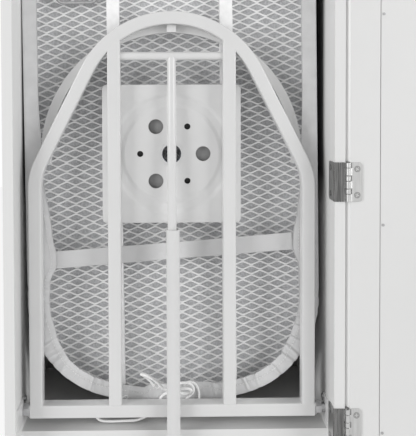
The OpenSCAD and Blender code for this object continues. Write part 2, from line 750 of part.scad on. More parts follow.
module strut_rod() color("silver") {
    folded() along_x([-bar_x + side_r - cross_bore + 0.5, pivot_d, cross_h],
        2 * (bar_x - side_r + cross_bore - 0.5), cross_r);
    on_strut() {
        translate([0, 0, -rod_l]) cylinder(h = rod_l - cross_r / 5, r = rod_r);
        for (side = [-1, 1])
            rotate([90, 0, 0]) linear_extrude(rod_r, center = true) scale([side, 1]) polygon(concat(
                [[0, -cross_r - fillet_r], [0, -1], [rod_r + fillet_r, -1]],
                [for (a = [90:15:180]) [rod_r + fillet_r + (fillet_r + fillet_lap) * cos(a),
                    -cross_r - fillet_r + (fillet_r + fillet_lap) * sin(a)]]));
    }
}

module strut_tube() color("white") on_strut() translate([rod_offset, 0, 0]) difference() {
    translate([0, 0, -strut_l + tube_end]) cylinder(h = strut_l - tube_end - mouth_down, r = strut_r);
    translate([0, 0, -strut_l]) cylinder(h = strut_l, r = bore_r);
}

// The foot straddles the bracket pin with an open notch, so the strut can lift off it
module strut_foot() color("silver") on_strut() translate([rod_offset, 0, -strut_l]) difference() {
    union() {
        translate([0, 0, tube_end]) cylinder(h = 14, r = bore_r);
        translate([-foot_t / 2, -bore_r, -5]) cube([foot_t, 2 * bore_r, tube_end + 5]);
    }
    translate([-foot_t, 0, 0]) rotate([0, 90, 0]) cylinder(h = 2 * foot_t, r = foot_pin_r + foot_gap);
    translate([-foot_t, 0, 0]) rotate([90, 0, 90]) linear_extrude(2 * foot_t)
        polygon([[-12, -14.3], [-2.635, 3.14], [0, 3.4], [2.635, 3.14], [12, -14.3]]);
}

function arc(cx, cz, r, a0, a1, n) =
    [for (i = [0:n - 1]) let (a = a0 + (a1 - a0) * i / n) [cx + r * cos(a), cz + r * sin(a)]];

// Outline of the board in X and height, drawn in by i; m points on each straight side
function outline(i, m = 1) = concat(
    arc(0, nose_z, nose_r - i, nose_a, 180 - nose_a, 10),
    arc(side_arc - half_w, taper_h, side_arc - i, 180 - nose_a, 180, 8),
    [for (k = [0:m - 1]) [i - half_w, taper_h + (corner_z - taper_h) * k / m]],
    arc(-corner_x, corner_z, tail_corner_r - i, 180, 270 - tail_a, 9),
    arc(0, tail_z, tail_end_r - i, 270 - tail_a, 270 + tail_a, 12),
    arc(corner_x, corner_z, tail_corner_r - i, 270 + tail_a, 360, 9),
    [for (k = [0:m - 1]) [half_w - i, corner_z + (taper_h - corner_z) * k / m]],
    arc(half_w - side_arc, taper_h, side_arc - i, 0, nose_a, 8));

module board_rim() color("gainsboro") leaning() slab(rim_front, mesh_d) difference() {
    polygon(outline(rim_in));
    polygon(outline(rim_in + rim_w));
}

module board_rails() color("gainsboro") leaning() slab(board_rail_front, mesh_d) intersection() {
    polygon(outline(rim_in + rim_w));
    for (side = [-1, 1])
        translate([side * board_rail_x, tail_h + board_l / 2])
            square([board_rail_w, board_l], center = true);
}

// Openings of the expanded mesh: staggered diamonds with strands of equal width
module mesh_openings() {
    a = mesh_px / 2;
    b = mesh_pz / 2;
    s = strand / 2 * norm([a, b]);
    cols = ceil(board_w / mesh_px / 2);
    rows = ceil(board_l / mesh_pz);
    for (r = [0:2 * rows], c = [-cols:cols])
        translate([(c + (r % 2) / 2) * mesh_px, tail_h + r * mesh_pz / 2])
            polygon([[a - s / b, 0], [0, b - s / a], [s / b - a, 0], [0, s / a - b]]);
}

module board_mesh() color("silver") leaning() slab(mesh_d, mesh_d + mesh_t) difference() {
    polygon(outline(rim_in + 1));
    intersection() {
        polygon(outline(rim_in + rim_w + 3));
        mesh_openings();
    }
}

module swivel_plate_upper() color("gainsboro") leaning() difference() {
    union() {
        slab(upper_plate_d, board_rail_front) translate([0, swivel_h]) round_square(plate_w, 5);
        along_y([0, frame_rear + plate_t + bead_t + 0.3, swivel_h],
            upper_plate_d - frame_rear - plate_t - bead_t - 0.2, bead_in + bead_w - 2);
    }
    along_y([0, upper_plate_d - 9, swivel_h], 9, bead_in + 2);
    along_y([0, upper_plate_d - 1, swivel_h], 9, rivet_out);
}

module swivel_rivet() color("silver") leaning() difference() {
    union() {
        along_y([0, frame_rear - 1.1, swivel_h], 0.8, rivet_out + 1.5);
        along_y([0, frame_rear - 0.5, swivel_h], board_rail_front - frame_rear + 1.5, rivet_out);
        along_y([0, board_rail_front, swivel_h], 1.2, rivet_out + 4);
    }
    along_y([0, frame_rear - 2, swivel_h], 20, rivet_r);
}

module board_pad() color("lightgray") leaning() slab(mesh_d + mesh_t, pad_rear)
    polygon(outline(rim_in));

// Width of the hem at height h: flat above, gathered toward the tail
function hem_at(h) = let (low = max(0, min(1, (swivel_h - 30 - h) / 60))) hem_w + low * 9;
function gather_at(i, h) = h > swivel_h ? 0 : gather * (1 + cos(i * 120)) / 2;
cover_steps = 18;
rim_points = outline(cover_t, cover_steps);
cover_n = len(rim_points);

// The hem's free edge: each outline point moved toward the board's middle line
function hem_edge() = let (o = outline(0, cover_steps), p = outline(10, cover_steps))
    [for (i = [0:cover_n - 1]) o[i] + (p[i] - o[i]) / 10 * hem_at(o[i][1])];

function ring_at(pts, d) = [for (i = [0:cover_n - 1]) [pts[i][0], d, pts[i][1]]];
function gathered(pts, d) =
    [for (i = [0:cover_n - 1]) [pts[i][0], d + gather_at(i, pts[i][1]), pts[i][1]]];

module board_cover() color("gainsboro") leaning() {
    m = cover_steps;
    rings = [ring_at(rim_points, pad_rear + 0.1), ring_at(rim_points, hem_d + cover_t),
        gathered(hem_edge(), hem_d + cover_t), gathered(hem_edge(), hem_d),
        ring_at(outline(2, m), hem_d), ring_at(outline(0, m), hem_d + 2),
        ring_at(outline(0, m), cover_rear - 3), ring_at(outline(1, m), cover_rear - 1),
        ring_at(outline(3.5, m), cover_rear)];
    n = cover_n;
    last = len(rings) - 1;
    polyhedron(
        points = [for (r = rings, p = r) p],
        faces = concat(
            [for (k = [0:last - 1], i = [0:n - 1], f = [0, 1]) let (j = (i + 1) % n)
                f == 0 ? [k * n + i, k * n + j, (k + 1) * n + j]
                       : [k * n + i, (k + 1) * n + j, (k + 1) * n + i]],
            [for (i = [1:n - 2]) [0, i + 1, i]],
            [for (i = [1:n - 2]) [last * n, last * n + i, last * n + i + 1]]),
        convexity = 4);
}

// The strap rises to the right, from hem to hem
module cover_strap() color("lightgray") placed() {
    end = half_w - strap_in;
    translate([fold_x - end, strap_d, pivot_h + strap_up]) rotate([0, -atan2(strap_rise, 2 * end), 0])
        translate([0, 0, -strap_w / 2]) cube([norm([2 * end, strap_rise]), strap_t, strap_w]);
}

// A tube of s sides swept along its route
function unit(v) = v / norm(v);
function ring_of(c, i, s) = let (
    n = len(c),
    t = unit(c[min(i + 1, n - 1)] - c[max(i - 1, 0)]),
    u = unit(cross(t, [0, 1, 0])),
    w = cross(t, u))
    [for (k = [0:s - 1]) c[i] + cord_r * (u * cos(k * 360 / s) + w * sin(k * 360 / s))];

module cord_tube(c, s = 8) {
    n = len(c);
    polyhedron(
        points = [for (i = [0:n - 1], p = ring_of(c, i, s)) p],
        faces = concat(
            [for (i = [0:n - 2], k = [0:s - 1], f = [0, 1]) let (q = (k + 1) % s)
                f == 0 ? [i * s + k, (i + 1) * s + q, i * s + q]
                       : [i * s + k, (i + 1) * s + k, (i + 1) * s + q]],
            [[for (k = [0:s - 1]) k]],
            [[for (k = [s - 1:-1:0]) (n - 1) * s + k]]));
}

module drawstring() color("white") placed() {
    for (c = [tail_cord, bow_cord, ear_cord, loop_cord])
        cord_tube(c);
    translate(knot) sphere(r = knot_r);
}

// Turned aside: the arm points to the back and its lip hangs behind the board
module catch_arm() color("white") placed() translate([catch_x, catch_d, cab_h - wall_t]) difference() {
    union() {
        translate([-catch_wide / 2, -catch_wide / 2, -catch_t - 0.1])
            cube([catch_wide, catch_l + catch_wide / 2, catch_t]);
        translate([-catch_wide / 2, catch_l - catch_t, -catch_lip])
            cube([catch_wide, catch_t, catch_lip - 0.1]);
    }
    translate([0, 0, -catch_lip]) cylinder(h = catch_lip + 1, r = screw_r + run_fit);
}

module bail_clip() color("silver") leaning() difference() {
    union() {
        along_x([bail_x - 12, bail_d, bail_h], 24, wire_r + 2);
        box3([bail_x - 12, bail_x + 12], [bail_d + wire_r + 1, mesh_d], [bail_h - 1.5, bail_h + 1.5]);
        box3([bail_x - 24, bail_x + 24], [mesh_d - 1.5, mesh_d], [bail_h - 12, bail_h + 12]);
    }
    along_x([bail_x - 13, bail_d, bail_h], 26, wire_r + run_fit);
}

module wire_bail() color("silver") leaning() translate([bail_x, bail_d, bail_h]) {
    bend = 8;
    hw = bail_w / 2 - wire_r;
    for (z = [0, -bail_l])
        along_x([-hw + bend, 0, z], 2 * (hw - bend), wire_r);
    for (side = [-1, 1])
        translate([side * hw, 0, -bail_l + bend]) cylinder(h = bail_l - 2 * bend, r = wire_r);
    for (side = [-1, 1], up = [0, 1])
        translate([side * (hw - bend), 0, up ? -bend : -bail_l + bend]) rotate([90, 0, 0])
            rotate([0, 0, side > 0 ? (up ? 0 : -90) : (up ? 90 : 180)])
                rotate_extrude(angle = 90) translate([bend, 0]) circle(wire_r);
}

side_left();
side_right();
top_board();
bottom_board();
compartment_floor();
lower_panel();
back_panel();
hanging_rail(screw_high);  // hanging_rail_top
hanging_rail(screw_low);  // hanging_rail_low
pivot_plates();
pivot_bolts();
pivot_nuts();
pivot_washers();
strut_bracket();
strut_bracket_pin();
fixing_screws();
hinge_screws_cabinet();
hinge_cabinet_leaf(0);  // hinge_cabinet_leaf_1
hinge_cabinet_leaf(1);  // hinge_cabinet_leaf_2
hinge_cabinet_leaf(2);  // hinge_cabinet_leaf_3
hinge_cabinet_leaf(3);  // hinge_cabinet_leaf_4
hinge_cabinet_leaf(4);  // hinge_cabinet_leaf_5
hinge_pins();
door_magnet();
door_stile_hinge();
door_stile_free();
door_rail(true);  // door_rail_top
door_rail(false);  // door_rail_low
door_backing();
mirror();
panel_nails();
hinge_door_leaf(0);  // hinge_door_leaf_1
hinge_door_leaf(1);  // hinge_door_leaf_2
hinge_door_leaf(2);  // hinge_door_leaf_3
hinge_door_leaf(3);  // hinge_door_leaf_4
hinge_door_leaf(4);  // hinge_door_leaf_5
hinge_screws_door();
strike_plate();
frame_arch();
frame_rail();
frame_bar(-1);  // frame_bar_left
frame_bar(1);  // frame_bar_right
swivel_track();
track_spacer();
swivel_plate_lower();
strut_rod();
strut_tube();
strut_foot();
board_rim();
board_rails();
board_mesh();
swivel_plate_upper();
swivel_rivet();
board_pad();
board_cover();
cover_strap();
drawstring();
catch_arm();
bail_clip();
wire_bail();
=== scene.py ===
"""Wall cabinet with a mirrored door and a fold-down ironing board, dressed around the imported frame."""

import json
import math
import random

import bmesh
import bpy
from mathutils import Matrix, Vector, noise


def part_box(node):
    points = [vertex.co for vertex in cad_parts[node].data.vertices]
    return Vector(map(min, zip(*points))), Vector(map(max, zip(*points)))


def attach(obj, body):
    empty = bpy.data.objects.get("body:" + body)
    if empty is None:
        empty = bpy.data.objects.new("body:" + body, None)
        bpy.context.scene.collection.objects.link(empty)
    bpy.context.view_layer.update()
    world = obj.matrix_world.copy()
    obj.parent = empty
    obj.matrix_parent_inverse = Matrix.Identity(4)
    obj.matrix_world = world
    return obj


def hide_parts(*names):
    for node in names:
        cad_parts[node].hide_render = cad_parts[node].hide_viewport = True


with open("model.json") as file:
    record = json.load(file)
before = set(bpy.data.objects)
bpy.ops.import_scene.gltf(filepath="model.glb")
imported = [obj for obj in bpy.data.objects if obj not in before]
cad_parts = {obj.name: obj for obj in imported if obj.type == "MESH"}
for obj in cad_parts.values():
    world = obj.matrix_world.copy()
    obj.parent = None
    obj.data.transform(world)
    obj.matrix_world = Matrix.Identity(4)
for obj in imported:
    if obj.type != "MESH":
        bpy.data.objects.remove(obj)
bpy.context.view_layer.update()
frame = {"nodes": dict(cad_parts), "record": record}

MM = 0.001
FRONT_Y, BASE_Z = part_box("side_left")[0][1:3]


def at(x, depth, height):
    """A point from its X, depth behind the cabinet's front and height above its underside, in mm."""
    return Vector((x * MM, FRONT_Y + depth * MM, BASE_Z + height * MM))


# ---------------------------------------------------------------- sizes, in mm

CAB_X = 193
IN_X = 181
FOLD_X = -2.5
PIVOT_H = 385
PIVOT_D = 31.5
TUBE = 15
FRAME_W = 336
ARCH_H = 470
APEX_R = 118
SIDE_LEAN = math.radians(27)
SHOULDER_R = 80
BAR_X = 67.5

SWIVEL_H = 687
HOLE_CIRCLE = 37.5
FRAME_REAR = 39
PLATE_W = 165
PLATE_T = 2
BEAD_IN = 55
BEAD_W = 18
BEAD_T = 1.2
LARGE_HOLE = 8.85
SMALL_HOLE = 3.65
SWIVEL_BORE = 12.55
BOARD_LEAN = math.radians(-0.65)
HALF_W = 176
TAIL_H = 383.5
BOARD_L = 914
TAPER_H = 868
NOSE_R = 60
CORNER_R = 120
TAIL_R = 345
HEM_D = 42.2
MESH_D = 61
MESH_T = 1.2
PAD_REAR = 70.2
COVER_REAR = 71.6
RIM_IN = 1.5

# ---------------------------------------------------------------- camera

FRAME_PX = (416, 436)
FOCAL_PX = 574.7
EYE = (-13.15, -644.2, 770.5)
CENTRE_PX = (169.3, 95.9)
PITCH = 0.02115
YAW = -0.01184
ROLL = -0.00343


def make_camera():
    data = bpy.data.cameras.new("camera")
    data.sensor_fit = "HORIZONTAL"
    data.sensor_width = 36
    data.lens = FOCAL_PX / FRAME_PX[0] * data.sensor_width
    data.shift_x = (FRAME_PX[0] / 2 - CENTRE_PX[0]) / FRAME_PX[0]
    data.shift_y = (CENTRE_PX[1] - FRAME_PX[1] / 2) / FRAME_PX[0]
    data.clip_start = 0.05
    data.clip_end = 50
    right = Vector((math.cos(YAW), math.sin(YAW), 0))
    level = Vector((-math.sin(YAW), math.cos(YAW), 0))
    ahead = level * math.cos(PITCH) - Vector((0, 0, 1)) * math.sin(PITCH)
    down = -(level * math.sin(PITCH) + Vector((0, 0, 1)) * math.cos(PITCH))
    rolled_right = right * math.cos(ROLL) - down * math.sin(ROLL)
    rolled_down = right * math.sin(ROLL) + down * math.cos(ROLL)
    turn = Matrix((rolled_right, -rolled_down, -ahead)).transposed()
    camera = bpy.data.objects.new("camera", data)
    camera.matrix_world = Matrix.Translation(at(*EYE)) @ turn.to_4x4()
    bpy.context.scene.collection.objects.link(camera)
    bpy.context.scene.camera = camera


make_camera()

# ---------------------------------------------------------------- mesh helpers


def add_object(name, verts, faces, smooth=True):
    mesh = bpy.data.meshes.new(name)
    mesh.from_pydata([tuple(v) for v in verts], [], faces)
    mesh.update()
    if smooth:
        mesh.polygons.foreach_set("use_smooth", [True] * len(mesh.polygons))
    obj = bpy.data.objects.new(name, mesh)
    bpy.context.scene.collection.objects.link(obj)
    return obj


def sharpen(obj, degrees=35):
    """Smooth shading with sharp edges above an angle."""
    mesh = obj.data
    mesh.polygons.foreach_set("use_smooth", [True] * len(mesh.polygons))
    mesh.set_sharp_from_angle(angle=math.radians(degrees))


def loft(rings, caps=False, closed=False):
    """Vertices and faces through closed rings of equal length, with end faces or closed on itself."""
    n = len(rings[0])
    verts = [p for ring in rings for p in ring]
    faces = []
    for k in range(len(rings) - (0 if closed else 1)):
        low, high = k * n, (k + 1) * n % len(verts)
        for i in range(n):
            j = (i + 1) % n
            faces.append((low + i, low + j, high + j, high + i))
    if caps:
        faces.append(tuple(reversed(range(n))))
        faces.append(tuple(range(len(verts) - n, len(verts))))
    return verts, faces


def merged(parts):
    """One list of vertices and faces from several."""
    verts, faces = [], []
    for part_verts, part_faces in parts:
        base = len(verts)
        verts += part_verts
        faces += [tuple(base + v for v in face) for face in part_faces]
    return verts, faces


def circle(radius, count):
    """Points round a circle about the origin."""
    turns = [2 * math.pi * k / count for k in range(count)]
    return [(radius * math.cos(a), radius * math.sin(a)) for a in turns]


def smoothstep(a, b, x):
    t = max(0.0, min(1.0, (x - a) / (b - a)))
    return t * t * (3 - 2 * t)


def leaned(x, depth, height):
    """A point of the board, which leans a little about the swivel's centre."""
    dz = height - SWIVEL_H
    c, s = math.cos(BOARD_LEAN), math.sin(BOARD_LEAN)
    return at(FOLD_X + x * c + dz * s, depth, SWIVEL_H - x * s + dz * c)


# ---------------------------------------------------------------- materials


class Shader:
    """A principled material whose colour, roughness and bump come from procedural nodes."""

    def __init__(self, name, color, roughness, metallic=0.0):
        self.material = bpy.data.materials.new(name)
        self.material.use_nodes = True
        self.material.diffuse_color = (*color, 1)
        self.tree = self.material.node_tree
        self.bsdf = self.tree.nodes["Principled BSDF"]
        self.bsdf.inputs["Base Color"].default_value = (*color, 1)
        self.bsdf.inputs["Roughness"].default_value = roughness
        self.bsdf.inputs["Metallic"].default_value = metallic
        self.color = color
        self.height = None

    def node(self, kind, **values):
        made = self.tree.nodes.new(kind)
        for key, value in values.items():
            if hasattr(made, key):
                setattr(made, key, value)
            else:
                made.inputs[key.replace("_", " ").title()].default_value = value
        return made

    def link(self, a, b):
        self.tree.links.new(a, b)

    def coords(self, scale=(1, 1, 1)):
        source = self.node("ShaderNodeTexCoord")
        mapping = self.node("ShaderNodeMapping")
        mapping.inputs["Scale"].default_value = scale
        self.link(source.outputs["Object"], mapping.inputs["Vector"])
        return mapping.outputs["Vector"]

    def noise(self, scale, detail=3, stretch=(1, 1, 1)):
        made = self.node("ShaderNodeTexNoise", scale=scale, detail=detail)
        self.link(self.coords(stretch), made.inputs["Vector"])
        return made.outputs["Fac"]

    def wave(self, scale, direction="X", distortion=0.0, stretch=(1, 1, 1)):
        made = self.node("ShaderNodeTexWave", bands_direction=direction, scale=scale,
                         distortion=distortion)
        self.link(self.coords(stretch), made.inputs["Vector"])
        return made.outputs["Fac"]

    def vary_color(self, factor, amount, tint=(0, 0, 0)):
        """Colour runs from a little darker to a little lighter with the factor."""
        ramp = self.node("ShaderNodeValToRGB")
        low = [max(0, c * (1 - amount) - t) for c, t in zip(self.color, tint)]
        high = [min(1, c * (1 + amount) + t) for c, t in zip(self.color, tint)]
        ramp.color_ramp.elements[0].position = 0.3
        ramp.color_ramp.elements[1].position = 0.7
        ramp.color_ramp.elements[0].color = (*low, 1)
        ramp.color_ramp.elements[1].color = (*high, 1)
        self.link(factor, ramp.inputs["Fac"])
        self.link(ramp.outputs["Color"], self.bsdf.inputs["Base Color"])

    def vary_roughness(self, factor, low, high):
        span = self.node("ShaderNodeMapRange")
        span.inputs["To Min"].default_value = low
        span.inputs["To Max"].default_value = high
        self.link(factor, span.inputs["Value"])
        self.link(span.outputs["Result"], self.bsdf.inputs["Roughness"])

    def bump(self, factor, strength, distance):
        made = self.node("ShaderNodeBump")
        made.inputs["Strength"].default_value = strength
        made.inputs["Distance"].default_value = distance
        self.link(factor, made.inputs["Height"])
        if self.height is not None:
            self.link(self.height, made.inputs["Normal"])
        self.height = made.outputs["Normal"]
        self.link(self.height, self.bsdf.inputs["Normal"])

    def near(self, x, height, radius):
        """1 within a radius of the line from front to back through a point."""
        flat = self.node("ShaderNodeVectorMath", operation="MULTIPLY")
        flat.inputs[1].default_value = (1, 0, 1)
        self.link(self.node("ShaderNodeTexCoord").outputs["Object"], flat.inputs[0])
        far = self.node("ShaderNodeVectorMath", operation="DISTANCE")
        self.link(flat.outputs[0], far.inputs[0])
        centre = at(x, 0, height)
        far.inputs[1].default_value = (centre.x, 0, centre.z)
        return self.calc("LESS_THAN", far.outputs["Value"], radius * MM)

    def calc(self, operation, a, b=None):
        made = self.node("ShaderNodeMath", operation=operation)
        self.link(a, made.inputs[0])
        if isinstance(b, float):
            made.inputs[1].default_value = b
        elif b is not None:
            self.link(b, made.inputs[1])
        return made.outputs[0]

    def recolor(self, mask, color):
        """Another colour where the mask is 1."""
        base = self.bsdf.inputs["Base Color"]
        mix = self.node("ShaderNodeMix", data_type="RGBA")
        self.link(mask, mix.inputs[0])
        mix.inputs[6].default_value = base.default_value
        if base.links:
            self.link(base.links[0].from_socket, mix.inputs[6])
        mix.inputs[7].default_value = (*color, 1)
        self.link(mix.outputs[2], base)


def plain(name, color, roughness, metallic=0.0,
          tone=None, relief=None, gloss=None, **sockets):
    """A finish with up to three noises: for its tone, its relief and its gloss."""
    s = Shader(name, color, roughness, metallic)
    if tone:
        s.vary_color(s.noise(*tone[0]), tone[1])
    if relief:
        s.bump(s.noise(*relief[0]), *relief[1:])
    if gloss:
        s.vary_roughness(s.noise(*gloss[0]), *gloss[1:])
    for key, value in sockets.items():
        s.bsdf.inputs[key.replace("_", " ").title()].default_value = value
    return s


BRUSHED = (900, 4, (1, 1, 0.04))
SATIN_BRUSHED = (700, 4, (1, 1, 0.06))
ROLLED = (420, 4, (1, 1, 0.18))
BOARD_WHITE = (0.74, 0.74, 0.735)
STEEL_WHITE = (0.69, 0.69, 0.688)
BOARD_RELIEF = ((900, 3), 0.12, 0.0002)
BOARD_GLOSS = ((30, 4), 0.36, 0.5)


def raw_wood():
    s = Shader("softwood", (0.62, 0.45, 0.27), 0.62)
    grain = s.wave(26, "Z", 5.0, (0.12, 1, 1))
    s.vary_color(grain, 0.2, (0.02, 0.015, 0.01))
    s.bump(s.noise(500, 5, (0.08, 1, 1)), 0.35, 0.0003)
    return s


def cover_cloth():
    s = plain("cover_cloth", (0.70, 0.70, 0.703), 0.6, tone=((60, 4), 0.05), sheen_weight=0.25)
    for threads in ("Z", "X"):
        s.bump(s.wave(620, threads, 0.4), 0.12, 0.0002)
    s.bump(s.noise(160, 5), 0.35, 0.0009)
    return s


def elastic():
    s = plain("elastic", (0.71, 0.71, 0.712), 0.7, sheen_weight=0.2)
    s.vary_color(s.wave(260, "Z", 0.3), 0.08)
    s.bump(s.wave(260, "Z", 0.2), 0.5, 0.0005)
    s.bump(s.wave(420, "X", 0.2), 0.25, 0.0003)
    return s


def cord_cotton():
    s = plain("cord_cotton", (0.97, 0.97, 0.965), 0.8, tone=((900, 3), 0.03), sheen_weight=0.3)
    s.bump(s.wave(560, "DIAGONAL", 1.5), 0.4, 0.0004)
    return s


SHADERS = {
    "painted_board": plain("melamine", BOARD_WHITE, 0.42, tone=((14, 2), 0.012), relief=BOARD_RELIEF,
                           gloss=BOARD_GLOSS),
    # The back panel's near-black tone is painted shade, for the deep shade behind the ironing board.
    "back_board": plain("hardboard_painted_shade", (0.15, 0.15, 0.149), 0.6, tone=((40, 5), 0.03),
                        relief=((1400, 4), 0.25, 0.0002)),
    "raw_wood": raw_wood(),
    "white_steel": plain("powder_coat", STEEL_WHITE, 0.3, tone=((22, 3), 0.015),
                         relief=((700, 2), 0.16, 0.00025), gloss=((60, 3), 0.25, 0.36),
                         coat_weight=0.25, coat_roughness=0.12),
    "zinc_steel": plain("zinc", (0.42, 0.42, 0.425), 0.34, 1.0, tone=((260, 4), 0.12),
                        relief=((1500, 2), 0.1, 0.0001), gloss=((180, 4), 0.22, 0.42)),
    "hinge_steel": plain("hinge_steel", (0.17, 0.169, 0.167), 0.3, 1.0, tone=(BRUSHED, 0.45),
                         relief=(BRUSHED, 0.15, 0.0001), gloss=(BRUSHED, 0.18, 0.36)),
    "grey_plastic": plain("grey_plastic", (0.36, 0.37, 0.38), 0.45, tone=((120, 2), 0.04),
                          relief=((1800, 2), 0.2, 0.0001)),
    "door_paint": plain("door_paint", (0.73, 0.73, 0.725), 0.4, tone=((9, 3), 0.012),
                        relief=(ROLLED, 0.14, 0.00025)),
    "mirror_glass": plain("mirror_glass", (0.86, 0.88, 0.89), 0.015, 1.0, gloss=((6, 3), 0.01, 0.035),
                          coat_weight=0.5, coat_roughness=0.01),
    "board_steel": plain("board_enamel", (0.93, 0.93, 0.93), 0.38, tone=((90, 4), 0.07),
                         relief=((900, 3), 0.25, 0.0002), coat_weight=0.2),
    "pad_felt": plain("felt", (0.53, 0.532, 0.545), 0.95, tone=((420, 6), 0.22),
                      relief=((1100, 5), 0.8, 0.0012), sheen_weight=0.35),
    "cover_fabric": cover_cloth(),
    "elastic": elastic(),
    "cord_white": cord_cotton(),
}
FINISH = {slot: shader.material for slot, shader in SHADERS.items()}
# A lighter copy of the hinge steel, its lighter tone painted light: the door leaves and the cabinet
# leaves' wrapped and rolled faces get it, where the darker hinge steel's reflections of the dark
# interior would show them dark.
HINGE_STEEL_LIT = plain("hinge_steel_painted_light", (0.54, 0.54, 0.535), 0.36, 1.0, tone=(SATIN_BRUSHED, 0.08),
              relief=(SATIN_BRUSHED, 0.12, 0.0001), gloss=(SATIN_BRUSHED, 0.26, 0.42)).material
SCREW = plain("screw_zinc", (0.33, 0.33, 0.325), 0.34, 1.0, tone=((900, 3), 0.12),
              gloss=((700, 3), 0.22, 0.4)).material
# A lighter copy of the door paint for the lipping on the hinge edge: a painted highlight on that edge.
DOOR_EDGE_HIGHLIGHT = plain("door_edge_painted_highlight", (0.82, 0.82, 0.815), 0.42, tone=((9, 3), 0.012),
                  relief=(ROLLED, 0.1, 0.0002)).material
# Near-black for the screws' cross recesses: painted shade, where the recess lies in shade.
RECESS_SHADE = plain("recess", (0.05, 0.05, 0.05), 0.5, 0.6, tone=((900, 2), 0.3)).material


def plate_painted_hole_shade():
    """The upper plate, in a raw steel grey partly darkened as painted shade, and near black where the
    lower plate's small holes lie in front of it: painted shade for the dark seen through those holes.
    """
    s = plain("plate_steel", (0.30, 0.30, 0.30), 0.5, tone=((120, 4), 0.1),
              relief=((1200, 3), 0.2, 0.0002))
    # Painted shade: near-black spots behind the lower plate's small holes.
    dark = None
    for degrees in (60, 180, 300):
        a = math.radians(degrees)
        hole = s.near(FOLD_X + HOLE_CIRCLE * math.cos(a), SWIVEL_H + HOLE_CIRCLE * math.sin(a), 7.5)
        dark = hole if dark is None else s.calc("MAXIMUM", dark, hole)
    s.recolor(dark, (0.012, 0.012, 0.012))
    return s


def hub_with_painted_bore_shade():
    """The hub's rim is painted with the plate; its bore is coloured dark blue-grey as painted shade."""
    s = plain("hub_with_painted_bore_shade", STEEL_WHITE, 0.4, relief=((900, 2), 0.15, 0.0002))
    # Painted shade: a dark blue-grey within the bore.
    s.recolor(s.near(FOLD_X, SWIVEL_H, 11.35), (0.10, 0.115, 0.14))
    return s


def side_board():
    """Board paint; the inner face's upper part behind its front band is coloured dark, as dark as the
    back panel: painted shade for the shade behind the ironing board.
    """
    s = plain("side_board", BOARD_WHITE, 0.42, relief=BOARD_RELIEF, gloss=BOARD_GLOSS)
    axes = s.node("ShaderNodeSeparateXYZ")
    s.link(s.node("ShaderNodeTexCoord").outputs["Object"], axes.inputs[0])
    mask = s.calc("LESS_THAN", s.calc("ABSOLUTE", axes.outputs["X"]), (IN_X + 1.5) * MM)
    band_start, band_end = at(0, 38, 620), at(0, 50, 660)
    for k, axis in ((1, "Y"), (2, "Z")):
        span = s.node("ShaderNodeMapRange")
        span.inputs["From Min"].default_value = band_start[k]
        span.inputs["From Max"].default_value = band_end[k]
        s.link(axes.outputs[axis], span.inputs["Value"])
        mask = s.calc("MULTIPLY", mask, span.outputs[0])
    # Painted shade: the masked part of the inner face turns near black.
    s.recolor(mask, (0.12, 0.12, 0.119))
    return s


OWN_FINISH = {"swivel_plate_upper": plate_painted_hole_shade().material, "swivel_rivet": hub_with_painted_bore_shade().material}
OWN_FINISH["side_left"] = OWN_FINISH["side_right"] = side_board().material


def dress_nodes():
    """Every carried-over node gets its own finish or that of its record slot."""
    slot_of = {row["node"]: row["material_slot"] for row in frame["record"]["subparts"]}
    for name, obj in frame["nodes"].items():
        finish = OWN_FINISH.get(name, FINISH[slot_of[name]])
        if not obj.material_slots:
            obj.data.materials.append(finish)
        for place in obj.material_slots:
            place.material = finish


dress_nodes()


def add_piece(obj, body, slot, *replaced, finish=None):
    obj.data.materials.append(finish or FINISH[slot])
    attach(obj, body)
    if replaced:
        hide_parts(*replaced)
    return obj


# ---------------------------------------------------------------- drawstring

CORD_R = 1.5
TAIL_CORD = [(-63, 40.7, 392.5), (-69, 40.6, 389.5), (-76, 40.6, 387.3), (-83.5, 40.6, 385),
             (-90, 40.6, 381.3), (-94, 40.6, 375.5), (-93.5, 40.6, 369), (-88, 40.7, 365.2),
             (-79, 40.8, 364.2), (-68, 40.8, 364.3), (-58, 40.8, 364.6), (-47, 40.8, 365.2),
             (-38, 40.7, 368), (-30, 40.6, 372.5), (-23.5, 40.6, 379), (-19, 40.6, 386),
             (-16.5, 40.5, 392.5), (-11.5, 39.4, 397.5), (-4, 37.3, 400.6)]
BOW_CORD = [(-24.5, 40.6, 406.5), (-28.5, 40.5, 412), (-33.5, 39.8, 417), (-37.8, 37.7, 421.2),
            (-39.8, 33.8, 424.3), (-37.8, 30, 426), (-33, 28.2, 425.5), (-27, 28.4, 422),
            (-21, 29.8, 417), (-16, 31.6, 410.8), (-11.3, 33.6, 405.9), (-5.3, 35, 404)]
EAR_CORD = [(3.5, 36.3, 402.3), (7.5, 36.8, 400.2), (12, 36.6, 399.6), (16.8, 35.4, 401),
            (19.8, 33.3, 404), (18.6, 31, 407.3), (14, 29.8, 409), (8.5, 30.6, 408.3), (3.6, 33, 405.6)]
LOOP_CORD = [(0.5, 35.9, 408.2), (4.5, 36.5, 411), (10.5, 36.6, 412.3), (17, 36.6, 411.6),
             (21.5, 36.8, 408.4), (22.8, 37.4, 403.8), (21.8, 38.5, 399.3), (18.8, 39.9, 395.2),
             (15, 40.6, 391.2), (12.2, 40.6, 386.6), (13, 40.7, 381.6), (17.5, 40.8, 378.4),
             (23, 40.8, 379), (27, 40.7, 383), (29, 40.6, 388.5), (29.6, 40.5, 394.5),
             (29.1, 40.4, 400.5), (27, 40.4, 406), (23, 40.6, 410), (17, 40.6, 411), (11.5, 40.7, 408)]
KNOT = (-1, 35.5, 403.5)
KNOT_R = 3.8


